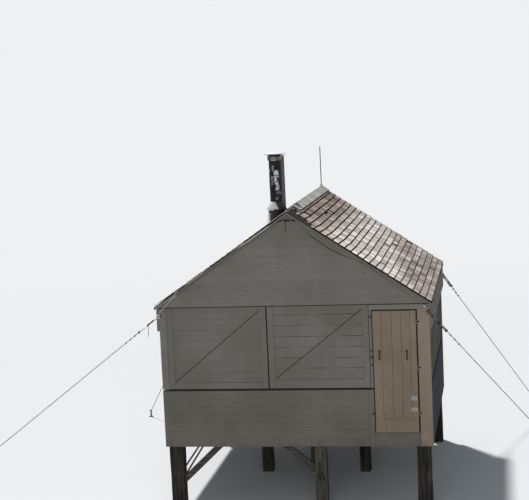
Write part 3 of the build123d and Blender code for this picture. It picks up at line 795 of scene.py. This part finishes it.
# Screw heads on the hinges, round plates under the pulls, small latches on the strip beside the door, and a bracket
# at the left end of the sill
screws = {"radius": 0.0045, "depth": 0.003, "ease": 0.0009, "out": 0.004, "inset": 0.0084,
          "places": ((0.011, 0.019), (0.022, 0.0), (0.011, -0.019))}
plates = {"radius": 0.017, "depth": 0.004, "out": 0.002, "across": (1.3445, 1.7705), "heights": (2.3905, 2.5175)}
latch = {"middle": 1.215, "edge": 1.2355, "out": 0.012,
         "sizes": {3.06: 0.012, 2.52: 0.01, 2.42: 0.016, 2.3: 0.011, 1.53: 0.012},
         "bracket": ((-2.135, -2.15, 1.92), (-2.1, -2.1335, 1.94))}


def disc(look, sides, finish):
    bpy.ops.mesh.primitive_cylinder_add(vertices=sides, radius=look["radius"], depth=look["depth"])
    piece = bpy.context.object
    if "ease" in look:
        bevelAll(look["ease"])
    piece.data.transform(Matrix.Rotation(math.pi / 2, 4, "X"))
    return coated(piece, finish)


def fasteners():
    face = doorLeaf["face"]
    screw = disc(screws, 14, hingeFinish)
    onDoor, onFrame = [], []
    for height in hinges["heights"]:
        for side, group in ((-1, onDoor), (1, onFrame)):
            for across, up in screws["places"]:
                x = hinges["pin"] + side * (screws["inset"] + across)
                group.append(copied(screw, Matrix.Translation((x, face - screws["out"], height + up))))
    plate = disc(plates, 20, blackIron)
    for x in plates["across"]:
        onDoor += [copied(plate, Matrix.Translation((x, face - plates["out"], z))) for z in plates["heights"]]
    for source in (screw, plate):
        bpy.data.objects.remove(source)
    handOver("door_screws", onDoor, "door_iron", body="door")
    handOver("frame_screws", onFrame, "door_iron")
    latches = [addBoard((latch["middle"] - size, face - latch["out"], z - size), (latch["edge"], face, z + size),
                        blackIron, 0.002) for z, size in latch["sizes"].items()]
    latches.append(addBoard(*latch["bracket"], brightSheet, 0.002))
    handOver("latches", latches, "door_iron")
    print("fasteners placed")


def roofPoint(down, across, height, side):
    # a point on a slope: metres down from the ridge, along the ridge, and above the shingles
    pitch = roof["pitch"]
    x = down * math.cos(pitch) + height * math.sin(pitch)
    z = roof["ridge"] - down * math.sin(pitch) + height * math.cos(pitch)
    return Vector((side * x, across, z))


def slopeMatrix(down, across, height, side, spin):
    # turns a shingle drawn with its butt at the origin, +X down the slope
    matrix = Matrix.Translation(roofPoint(down, across, height, 1)) @ Matrix.Rotation(roof["pitch"], 4, "Y")
    matrix = matrix @ Matrix.Rotation(spin, 4, "Z")
    return matrix if side > 0 else Matrix.Rotation(math.pi, 4, "Z") @ matrix


# Shingles. "hole" is a course and the stretch where it has none, "bareVerge" where each top course begins, the dark
# deck left bare there partly standing for the stovepipe's shadow, as painted shadow
shingle = {"length": 0.17, "butt": 0.011, "tip": 0.003, "fall": 0.012, "widths": (0.075, 0.19), "gap": 0.003,
           "narrowest": 0.06, "middle": 0.055, "spot": 0.058, "deckDepth": 0.022, "lift": 0.0025, "dark": 1.5,
           "darkShare": 0.006, "hole": (3, -0.45, -0.1), "bareVerge": (-1.75, -1.86, -1.95, -2.02),
           "slide": (-0.003, 0.002), "spin": (-0.008, 0.008), "flashing": (-0.93, 0.35)}
darkSpots = ((0.2, -1.45), (0.22, -0.95), (0.45, 0.17), (1.7, 0.78), (2.16, 0.27), (1.85, 2.04))
# places where the shingles are browner: down the slope, along the roof, and how strongly
brownPlaces = ((0.55, 0.25, 0.5), (0.58, 1.15, 0.6), (0.38, 1.65, 0.6), (0.25, 1.3, 0.4), (0.42, -0.3, 0.4),
               (0.36, -0.85, 0.3), (0.38, 0.8, 0.3), (0.6, -1.6, 0.2), (1.63, 1.35, 0.6), (1.7, 0.75, 0.4),
               (1.84, 0.5, 0.4), (1.88, -0.35, 0.4), (1.96, 1.2, 0.3), (2.1, -0.6, 0.35), (2.16, -1.4, 0.3),
               (2.22, -0.9, 0.3), (2.42, -0.9, 0.4), (2.32, -0.5, 0.4), (2.22, 0.15, 0.3), (2.3, 1.2, 0.35),
               (1.95, 0.3, -0.5), (2.24, -0.2, -0.4), (1.98, -1.1, -0.5), (2.4, -0.75, -0.3), (2.1, 1.9, -0.3))
brownReach = (0.07, 0.22)
# Courses hang low by "least", and by "more" around half of "full", but less at the front and back verges, over a reach.
# The last is how far a course lies off that, where it is much
sag = {"least": 0.011, "more": 0.014, "full": 18, "front": (1.1, 0.42), "back": (0.45, 0.6)}
uneven = {1: 0.004, 2: 0.004, 3: 0.006, 9: -0.011, 14: -0.011, 15: -0.005, 16: -0.006, 20: 0.003}


def shingleSource():
    # one tapered shingle: butt at x = 0, tip up the slope, 1 m wide
    length, butt = shingle["length"], shingle["butt"]
    piece = box((-length, -0.5, -butt), (0, 0.5, 0), shingleFinish)
    fall = length * shingle["fall"] / roof["exposure"]
    for vertex in piece.data.vertices:
        if vertex.co.x < -0.01:
            vertex.co.z = -fall if vertex.co.z > -butt / 2 else -fall - shingle["tip"]
    for name, axis, share in (("fromButt", 0, -1), ("along", 1, 1)):
        layer = piece.data.attributes.new(name, "FLOAT", "POINT")
        layer.data.foreach_set("value", [share * vertex.co[axis] for vertex in piece.data.vertices])
    return piece


def courseDrop(course, across):
    if course == roof["courses"]:
        return 0.0
    share = 1
    for distance, (strength, reach) in ((roof["verge"] + across, sag["front"]), (roof["verge"] - across, sag["back"])):
        share -= strength * math.exp(-((distance / reach) ** 2))
    wave = math.sin(math.pi * min(course, sag["full"]) / sag["full"])
    return share * (sag["least"] + sag["more"] * wave + uneven.get(course, 0))


def brownAt(down, across):
    reachDown, reachY = brownReach
    return sum(strength * math.exp(-((down - spotDown) / reachDown) ** 2 - ((across - spotY) / reachY) ** 2)
               for spotDown, spotY, strength in brownPlaces)


def missing(course, across):
    hole, start, end = shingle["hole"]
    verge = shingle["bareVerge"]
    return (course < len(verge) and across < verge[course]) or (course == hole and start < across < end)


def slopeOfShingles(node, side):
    look, verge, exposure, courses = shingle, roof["verge"], roof["exposure"], roof["courses"]
    middle, reach = look["flashing"]
    source = shingleSource()
    pieces = []
    first = roof["eave"] / math.cos(roof["pitch"]) - courses * exposure
    for course in range(courses + 1):
        down = first + course * exposure
        spotLevel = down - look["middle"]
        edge = -verge
        while edge < verge - 0.03:
            width = random.uniform(*look["widths"])
            if verge - edge - width < look["narrowest"]:
                width = verge - edge
            across = edge + width / 2
            edge += width
            if side > 0 and missing(course, across):
                continue
            tone = random.random()
            dark = side > 0 and any(abs(spotLevel - spotDown) < look["spot"] and abs(across - spotY) < width / 2 + 0.02
                                    for spotDown, spotY in darkSpots)
            if random.random() < look["darkShare"] or dark:
                tone = look["dark"]
            # shingles lie flat in the top course and under the flashing, and curl up a little elsewhere
            flat = course == 0 or (side < 0 and abs(across - middle) < reach)
            lift = 0.0 if flat else random.uniform(0, 1) ** 2
            drop = courseDrop(course, across)
            slide = drop + (random.uniform(*look["slide"]) if course < courses else 0.0)
            spin = random.uniform(*look["spin"])
            matrix = slopeMatrix(down + slide, side * across, lift * look["lift"], side, spin)
            piece = copied(source, matrix @ Matrix.Diagonal((1, width - look["gap"], 1, 1)))
            for name, value in (("tone", tone), ("brown", brownAt(spotLevel, across) if side > 0 else 0.0),
                                ("width", width), ("shown", exposure + drop - courseDrop(course - 1, across))):
                stamp(piece, name, value)
            pieces.append(piece)
    bpy.data.objects.remove(source)
    deck = nodeCopy(node, shadedDeckWood)
    cutAway(deck, roofPoint(1.0, 0, -look["deckDepth"], side), slopeNormal(side))
    handOver(node + "_shingles", [deck, *pieces], "shingles", node)


# The ridge boards are gone in front of "start"
ridgeLook = {"start": -1.5825, "width": 0.143, "lengths": (0.08, 0.15), "shortest": 0.06, "thick": (0.015, 0.018),
             "gap": 0.001}


def ridgeBoards():
    boards = []
    look, verge, gap = ridgeLook, roof["verge"], ridgeLook["gap"]
    for side in (-1, 1):
        start = look["start"]
        while start < verge:
            end = min(start + random.uniform(*look["lengths"]), verge)
            if verge - end < look["shortest"]:
                end = verge
            top = random.uniform(*look["thick"])
            board = addBoard((0.0, start + gap, gap), (look["width"], end - gap, top), ridgeWood, 0.002)
            matrix = Matrix.Translation((0, 0, roof["ridge"])) @ Matrix.Rotation(roof["pitch"], 4, "Y")
            board.data.transform(Matrix.Diagonal((side, 1, 1, 1)) @ matrix)
            if side < 0:
                board.data.flip_normals()
            boards.append(cutAway(board, (0, 0, 0), (-side, 0, 0)))
            start = end
    handOver("ridge_boards", boards, "ridge_boards", "ridge_cap")


def roofSkin():
    slopeOfShingles("roof_left", -1)
    slopeOfShingles("roof_right", 1)
    ridgeBoards()
    print("roof shingled")


# Stovepipe in crimped lengths under a shallow cap, and the lightning rod. Profiles are radius and height: of a crimp
# about its joint, of the band about the pipe's top, of the cap and screen about the hood
pipe = {"centre": (-0.356, -0.93), "radius": 0.1, "thick": 0.003, "foot": 3.286, "top": 5.5251, "hood": 5.5591,
        "joints": (5.04, 5.34), "leg": ((0.103, -0.012), (0.117, 0.012)), "legFoot": 0.05,
        "crimp": ((0, -0.02), (0.005, -0.014), (0.005, -0.004), (0, 0), (-0.001, 0.012), (0.002, 0.02)),
        "band": ((0.102, -0.066), (0.116, -0.066), (0.118, -0.06), (0.118, -0.03), (0.116, -0.026), (0.118, -0.02),
                 (0.118, -0.002), (0.102, -0.002), (0.102, -0.066)),
        "cap": ((0.172, 0), (0.178, 0), (0.18, 0.002), (0.18, 0.009), (0.172, 0.011), (0.12, 0.024), (0.059, 0.0375),
                (0.004, 0.038)),
        "screen": ((0.09, -0.044), (0.096, -0.044), (0.096, 0.004), (0.09, 0.004), (0.09, -0.044))}
rod = {"place": (0, 2.1325), "foot": 0.024, "profile": ((0.03, 0), (0.03, 0.004), (0.012, 0.012), (0.008, 0.03),
                                                        (0.008, 0.68), (0.006, 0.7), (0.002, 0.7298))}


def stovepipe():
    centre, radius, top, hood = pipe["centre"], pipe["radius"], pipe["top"], pipe["hood"]
    inner = radius - pipe["thick"]
    profile = [(inner, top), (inner, pipe["foot"]), (radius, pipe["foot"])]
    for joint in pipe["joints"]:
        profile += [(radius + out, joint + up) for out, up in pipe["crimp"]]
    profile += [(radius, top - 0.1), (radius, top), (inner, top)]
    handOver("stovepipe_lengths", [lathe(centre, profile, pipeFinish, 48, True)], "pipe_steel", "stovepipe")
    parts = [lathe(centre, pipe["band"], bandSheet, 48, True, top), lathe(centre, pipe["cap"], capSheet, 48, base=hood),
             lathe(centre, pipe["screen"], blackIron, 32, True, hood)]
    low, high = pipe["leg"]
    for turn in range(4):
        leg = addBoard((*low, top - pipe["legFoot"]), (*high, hood + 0.001), blackIron, 0.002)
        leg.data.transform(Matrix.Translation((*centre, 0)) @ Matrix.Rotation(turn * math.pi / 2, 4, "Z"))
        parts.append(leg)
    handOver("stovepipe_hood", parts, "pipe_steel", "stovepipe_cap")
    handOver("roof_flashing_sheet", [eased(nodeCopy("roof_flashing", collarSheet), 0.0015)], "flashing_sheet",
             "roof_flashing")
    easedNode("stovepipe_stay", "stay_paint", stayFinish, 0.002)
    spike = lathe(rod["place"], rod["profile"], blackIron, 16, base=roof["ridge"] + rod["foot"])
    handOver("lightning_rod_and_foot", [spike], "rod_iron", "lightning_rod")
    print("stovepipe and rod made")


# Posts: squared timbers with worn corners and a slightly uneven surface. A place is x, y and width
postLook = {"corner": 0.022, "cuts": 5, "rough": 0.007, "top": 1.0}
postPlaces = {
    "front_left_post": ([(-1.9795, -1.9795, 0.228)], darkTimber),
    "front_middle_post": ([(0.35, -1.9985, 0.19)], litPaleTimber),
    "front_right_post": ([(1.9795, -1.9795, 0.228)], darkTimber),
    "centre_post": ([(0, 0, 0.19)], litPaleTimber),
    "middle_posts": ([(-0.85, 0, 0.19), (0.85, 0, 0.19)], darkTimber),
    "back_posts": ([(-1.9795, 1.9795, 0.228), (1.9795, 1.9795, 0.228), (0.35, 1.9985, 0.19)], darkTimber)}
keptNodes = {"floor_frame": floorWood, "floor_deck": floorWood, "ceiling": ceilingWood, "door_handles": blackIron,
             "door_hinge_leaves": hingeFinish, "frame_hinge_leaves": hingeFinish}


def post(x, y, width, finish):
    reach = width / 2
    piece = box((x - reach, y - reach, 0), (x + reach, y + reach, postLook["top"]), finish)
    editAll()
    bpy.ops.mesh.bevel(offset=postLook["corner"], segments=2, affect="EDGES")
    bpy.ops.mesh.select_all(action="SELECT")
    bpy.ops.mesh.subdivide(number_cuts=postLook["cuts"])
    editDone()
    for vertex in piece.data.vertices:
        spot = vertex.co
        if min(spot.z, postLook["top"] - spot.z) > 0.002:
            out = Vector((spot.x - x, spot.y - y, 0)).normalized()
            wave = math.sin(spot.z * 5 + (x - reach) * 9) + 0.6 * math.sin(spot.z * 13 + spot.x * 31 + spot.y * 23)
            vertex.co = spot - out * postLook["rough"] * (1 + wave) / 2.6
    stamp(piece, "tone", random.uniform(-0.4, 0.4))
    return smoothed(piece)


def posts():
    for node, (places, finish) in postPlaces.items():
        slot = "pale_post_timber" if finish is litPaleTimber else "post_timber"
        handOver(node + "_timber", [post(*place, finish) for place in places], slot, node)
    for node in ("front_knee_braces", "back_knee_braces"):
        easedNode(node, "brace_wood", greyBoard)
    for node, finish in keptNodes.items():
        coated(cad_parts[node], finish)
    print("posts and braces made")


# Steel ropes: six strands, twisted along straight or bent runs
ropeLook = {"radius": 0.0065, "hollow": 0.8, "lay": 0.085, "step": 0.012}


def rope(points, finish):
    bpy.ops.mesh.primitive_circle_add(vertices=12, radius=ropeLook["radius"])
    section = bpy.context.object
    for vertex in list(section.data.vertices)[::2]:
        vertex.co *= ropeLook["hollow"]
    selectOnly(section)
    bpy.ops.object.convert(target="CURVE")
    spots, lengths = [Vector(points[0])], [0.0]
    for start, end in zip(points, points[1:]):
        start, end = Vector(start), Vector(end)
        count = max(1, round((end - start).length / ropeLook["step"]))
        for number in range(1, count + 1):
            spots.append(start.lerp(end, number / count))
            lengths.append(lengths[-1] + (end - start).length / count)
    curve = bpy.data.curves.new("rope", "CURVE")
    curve.dimensions = "3D"
    curve.twist_mode = "MINIMUM"
    spline = curve.splines.new("POLY")
    spline.points.add(len(spots) - 1)
    for point, spot, length in zip(spline.points, spots, lengths):
        point.co = (*spot, 1.0)
        point.tilt = length / ropeLook["lay"] * 2 * math.pi
    curve.bevel_mode = "OBJECT"
    curve.bevel_object = section
    curve.use_fill_caps = True
    selectOnly(linked("rope", curve))
    bpy.ops.object.convert(target="MESH")
    piece = bpy.context.object
    bpy.data.objects.remove(section)
    return coated(piece, finish)


def aimed(piece, place, axis, finish):
    # lays a piece drawn around Z along another axis
    piece.data.transform(Matrix.Translation(place) @ axis.to_track_quat("Z", "Y").to_matrix().to_4x4())
    return smoothed(coated(piece, finish))


def ring(centre, normal, radius, thick, finish, squeezed=1.0):
    bpy.ops.mesh.primitive_torus_add(major_radius=radius, minor_radius=thick, major_segments=28, minor_segments=10)
    piece = bpy.context.object
    piece.data.transform(Matrix.Diagonal((squeezed, 1, 1, 1)))
    return aimed(piece, centre, normal, finish)


def bar(start, end, radius, finish, sides=16):
    axis = end - start
    bpy.ops.mesh.primitive_cylinder_add(vertices=sides, radius=radius, depth=axis.length)
    piece = bpy.context.object
    bevelAll(radius * 0.12)
    return aimed(piece, (start + end) / 2, axis, finish)


def blockOn(origin, down, across, size, ease, finish):
    # a small block centred at origin, its length along the cable
    piece = addBoard([-s / 2 for s in size], [s / 2 for s in size], finish, ease, 0.0)
    matrix = Matrix((across, down.cross(across), down)).transposed().to_4x4()
    piece.data.transform(Matrix.Translation(origin) @ matrix)
    return piece


# Guys: eye bolt, turnbuckle, rope with clips, and an eye in the ground. Each is its side on x and y, its reach on x
# and y, and the finish of its eye
guyLook = {"shank": 0.05, "shankRadius": 0.012, "ring": 0.03, "ringBar": 0.009, "height": 3.13, "anchor": 0.11,
           "inset": 0.035, "turnbuckle": (0.075, 0.32), "frameWidth": 0.056, "frameBar": 0.009, "block": 0.028,
           "thread": 0.006, "threads": (0.02, 0.12), "threadLength": 0.1, "clips": 0.09, "clip": (0.034, 0.0238, 0.024),
           "uBolt": (0.017, 0.005), "squeezed": 0.55, "shackleAt": 0.052, "shackle": (0.03, 0.03, 0.042),
           "looseEnd": (-0.01, 0, -0.19), "looseWire": 0.004, "stake": 0.014,
           "plate": ((0.045, 0.0), (0.045, 0.006), (0.042, 0.008), (0.016, 0.009))}
guys = {"front_left_guy": (-1, -1, 3.96, 0.99, brightSheet), "front_right_guy": (1, -1, 2.77, 0.6925, blackIron),
        "back_left_guy": (-1, 1, 1.81, 1.81, blackIron), "back_right_guy": (1, 1, 1.81, 1.81, blackIron)}


def guy(node, sideX, sideY, reachX, reachY, eyeFinish):
    look, half = guyLook, cab["half"]
    loop, loopBar, frameBar = look["ring"], look["ringBar"], look["frameBar"]
    wall = Vector((sideX * (half - look["inset"]), sideY * half, look["height"]))
    shankEnd = wall + Vector((0, sideY * look["shank"], 0))
    foot = Vector((sideX * (half + reachX), sideY * (half + reachY), look["anchor"]))
    ground = Vector((foot.x, foot.y, 0))
    top = shankEnd + Vector((foot.x - shankEnd.x, foot.y - shankEnd.y, 0)).normalized() * loop
    down = (foot - top).normalized()
    across = down.cross(Vector((0, 0, 1))).normalized()
    start, length = look["turnbuckle"]
    end = start + length

    def at(distance):
        return top + down * distance

    def block(distance, size, ease, finish):
        return blockOn(at(distance), down, across, size, ease, finish)

    parts = [bar(wall, shankEnd, look["shankRadius"], blackIron),
             ring(top, across, loop, loopBar, eyeFinish, look["squeezed"]),
             bar(at(loop), at(start), look["shankRadius"] / 2, eyeFinish)]
    for side in (-1, 1):
        offset = across * side * look["frameWidth"] / 2
        middle = at(start + length * 0.5) + offset
        parts += [bar(at(start) + offset, middle, frameBar, blackIron),
                  bar(middle, at(end) + offset, frameBar, eyeFinish)]
    if eyeFinish is brightSheet:
        # a bright shackle, and a loose end of wire that hangs from the turnbuckle
        loose = at(start + length * 0.4) - across * look["frameWidth"] / 2
        parts += [block(look["shackleAt"], look["shackle"], 0.008, eyeFinish),
                  bar(loose, loose + Vector(look["looseEnd"]), look["looseWire"], blackIron, 10)]
    size = (look["frameWidth"] + 3 * frameBar, look["block"], look["block"])
    parts += [block(start, size, 0.006, eyeFinish), block(end, size, 0.006, blackIron)]
    afterStart, beforeEnd = look["threads"]
    for place in (start + afterStart, end - beforeEnd):
        parts.append(bar(at(place), at(place + look["threadLength"]), look["thread"], brightSheet))
    parts.append(rope([at(end), foot - down * loop], ropeSteel))
    for number in range(1, 4):
        place = end + look["clips"] * number
        parts += [block(place, look["clip"], 0.005, blackIron),
                  ring(at(place) + across.cross(down) * 0.004, down, *look["uBolt"], brightSheet)]
    parts += [ring(foot, across, loop, loopBar, blackIron),
              bar(ground, ground + Vector((0, 0, look["anchor"] - loop)), look["stake"], blackIron),
              lathe((foot.x, foot.y), look["plate"], blackIron, 28)]
    handOver(node + "_rope", parts, "cable_steel", node)


# The rope along a gable: where its ends are, and how far it hangs below the roof at shares of the half width
gableRope = {"low": 3.202, "reach": 2.0985, "face": -2.22, "clip": (0.024, 0.02, 0.05),
             "hang": ((-0.88, 0.014), (0, 0.04), (0.17, 0.102), (0.3, 0.125), (0.41, 0.085), (0.54, 0.024)),
             "rod": ((-0.03, -2.2195, 4.585), (-0.03, -2.2195, 4.43))}


def gableCable(node, side):
    look, half = gableRope, cab["half"]
    low, reach, face = look["low"], look["reach"], look["face"]
    points = [(-reach, -half, low), (-reach, face, low)]
    for share, drop in look["hang"]:
        x = share * half
        points.append((x, face, roof["gableTop"] - abs(x) * roofRise / roofRun - drop))
    points += [(reach, face, low), (reach, -half, low)]
    points = [(x, y * side, z) for x, y, z in points]
    parts = [rope(points, gableSteel)]
    end = Vector(points[-2])
    along = (Vector(points[-3]) - end).normalized()
    across = along.cross(Vector((0, -side, 0)))
    parts.append(blockOn(end + along * 0.05, along, across, look["clip"], 0.004, gableSteel))
    if side > 0:
        parts.append(bar(*map(Vector, look["rod"]), 0.006, blackIron, 10))
    handOver(node + "_rope", parts, "cable_steel", node)


def cables():
    for node, values in guys.items():
        guy(node, *values)
    gableCable("front_gable_cable", 1)
    gableCable("back_gable_cable", -1)
    print("cables made")


# Windows behind the shutters: sashes with bars, and a pane in each
sashLook = {"frame": 0.045, "bar": 0.02, "crossBar": 0.018, "columns": 3, "rows": 2, "thick": 0.035, "lap": 0.004,
            "pane": 0.0036}


def windowSashes():
    look = sashLook
    thick, reach = look["thick"], look["bar"] / 2
    selectOnly(nodeCopy("window_sashes", paintAcross))
    bpy.ops.object.mode_set(mode="EDIT")
    bpy.ops.mesh.separate(type="LOOSE")
    editDone()
    wooden, panes = [], []
    for solid in list(bpy.context.selected_objects):
        spots = [vertex.co for vertex in solid.data.vertices]
        low, high = [Vector([pick(spot[n] for spot in spots) for n in range(3)]) for pick in (min, max)]
        flat = 0 if high.x - low.x > high.y - low.y else 1   # the axis it runs along
        width, height, edge = high[flat] - low[flat], high.z - low.z, look["frame"]
        middle = (low[1 - flat] + high[1 - flat]) / 2

        def strip(startAlong, endAlong, startUp, endUp, deep, finish):
            first, second = [0, 0, low.z + startUp], [0, 0, low.z + endUp]
            first[flat], second[flat] = low[flat] + startAlong, low[flat] + endAlong
            first[1 - flat], second[1 - flat] = middle - deep / 2, middle + deep / 2
            return addBoard(first, second, finish, 0.002)

        wooden += [strip(start, start + edge, 0, height, thick, paintUp) for start in (0, width - edge)]
        wooden += [strip(edge, width - edge, foot, foot + edge, thick, paintAcross) for foot in (0, height - edge)]
        for number in range(1, look["columns"]):
            at = width * number / look["columns"]
            wooden.append(strip(at - reach, at + reach, edge, height - edge, look["bar"], paintUp))
        for number in range(1, look["rows"]):
            at = height * number / look["rows"]
            wooden.append(strip(edge, width - edge, at - reach, at + reach, look["crossBar"], paintAcross))
        edge = edge - look["lap"]
        panes.append(strip(edge, width - edge, edge, height - edge, look["pane"], glassFinish))
        bpy.data.objects.remove(solid)
    handOver("window_sash_wood", wooden, "sash_wood", "window_sashes")
    handOver("window_panes", panes, "sash_wood")
    print("windows made")


lowerWalls()
upperWalls()
gables()
shutters()
door()
fasteners()
roofSkin()
stovepipe()
posts()
cables()
windowSashes()

# Floor, light and camera
studio = {"floor": (0.18, 0.18, 0.18), "shown": (0.83, 0.83, 0.83), "backdrop": (0.86, 0.87, 0.88), "radius": 60,
          "fade": (150.0, 900.0), "world": (0.72, 0.86, 1.0), "worldLight": 0.19, "sun": 2.95, "sunAngle": 4,
          "sunFrom": (-3.4, 4.5, 10.0), "fill": 415, "fillSize": 7, "fillPlace": (1.2, -14.5, 3.6),
          "fillAim": (0, -2.1, 2.4)}
cameraView = {"place": (3.2908, -23.6338, 6.8042), "yaw": 0.1694, "pitch": 0.1215, "roll": 0.046, "lens": 96.09,
              "sensor": 36, "clip": 300}


def studioFloor():
    bpy.ops.mesh.primitive_circle_add(vertices=96, radius=studio["radius"], fill_type="NGON")
    floor = bpy.context.object
    floor.name = "studio_floor"
    finish = Finish("studioFloor")
    x, y = finish.place()[:2]
    coated(floor, finish.close(finish.blend(finish.seen(), studio["floor"], studio["shown"]), 0.9))
    finish.feed(finish.surface.inputs["Alpha"], (x * x + y * y).below(*studio["fade"]))


def studioLamp(name, kind, energy, axis):
    lamp = linked(name, bpy.data.lights.new(name, kind))
    lamp.data.energy = energy
    lamp.rotation_euler = axis.to_track_quat("Z", "Y").to_euler()
    return lamp


def studioLight():
    world = bpy.data.worlds.new("studioWorld")
    bpy.context.scene.world = world
    finish = Finish("studioWorld", world)
    finish.feed(finish.surface.inputs["Color"], studio["world"])
    finish.feed(finish.surface.inputs["Strength"], studio["worldLight"])
    shown = finish.add("ShaderNodeBackground", {}, {"Color": studio["backdrop"]})
    lit = Channel(finish, finish.surface.outputs[0])
    mixed = finish.add("ShaderNodeMixShader", {}, {0: finish.seen(), 1: lit, 2: shown})
    finish.feed(finish.tree.nodes["World Output"].inputs["Surface"], mixed)
    sun = studioLamp("keySun", "SUN", studio["sun"], Vector(studio["sunFrom"]))
    sun.data.angle = math.radians(studio["sunAngle"])
    fill = studioLamp("softFill", "AREA", studio["fill"], Vector(studio["fillPlace"]) - Vector(studio["fillAim"]))
    fill.data.size = studio["fillSize"]
    fill.location = studio["fillPlace"]


def placeCamera():
    look = cameraView
    camera = linked("camera", bpy.data.cameras.new("camera"))
    camera.data.lens = look["lens"]
    camera.data.sensor_width = look["sensor"]
    camera.data.sensor_fit = "HORIZONTAL"
    camera.data.clip_end = look["clip"]
    yaw, pitch, roll = look["yaw"], look["pitch"], look["roll"]
    forward = Vector((-math.sin(yaw) * math.cos(pitch), math.cos(yaw) * math.cos(pitch), -math.sin(pitch)))
    level = Vector((math.cos(yaw), math.sin(yaw), 0))
    below = forward.cross(level)
    right = level * math.cos(roll) + below * math.sin(roll)
    low = below * math.cos(roll) - level * math.sin(roll)
    camera.matrix_world = Matrix.Translation(look["place"]) @ Matrix((right, -low, -forward)).transposed().to_4x4()
    bpy.context.scene.camera = camera


studioFloor()
studioLight()
placeCamera()
bpy.context.scene.view_settings.view_transform = "Standard"

print("scene done")
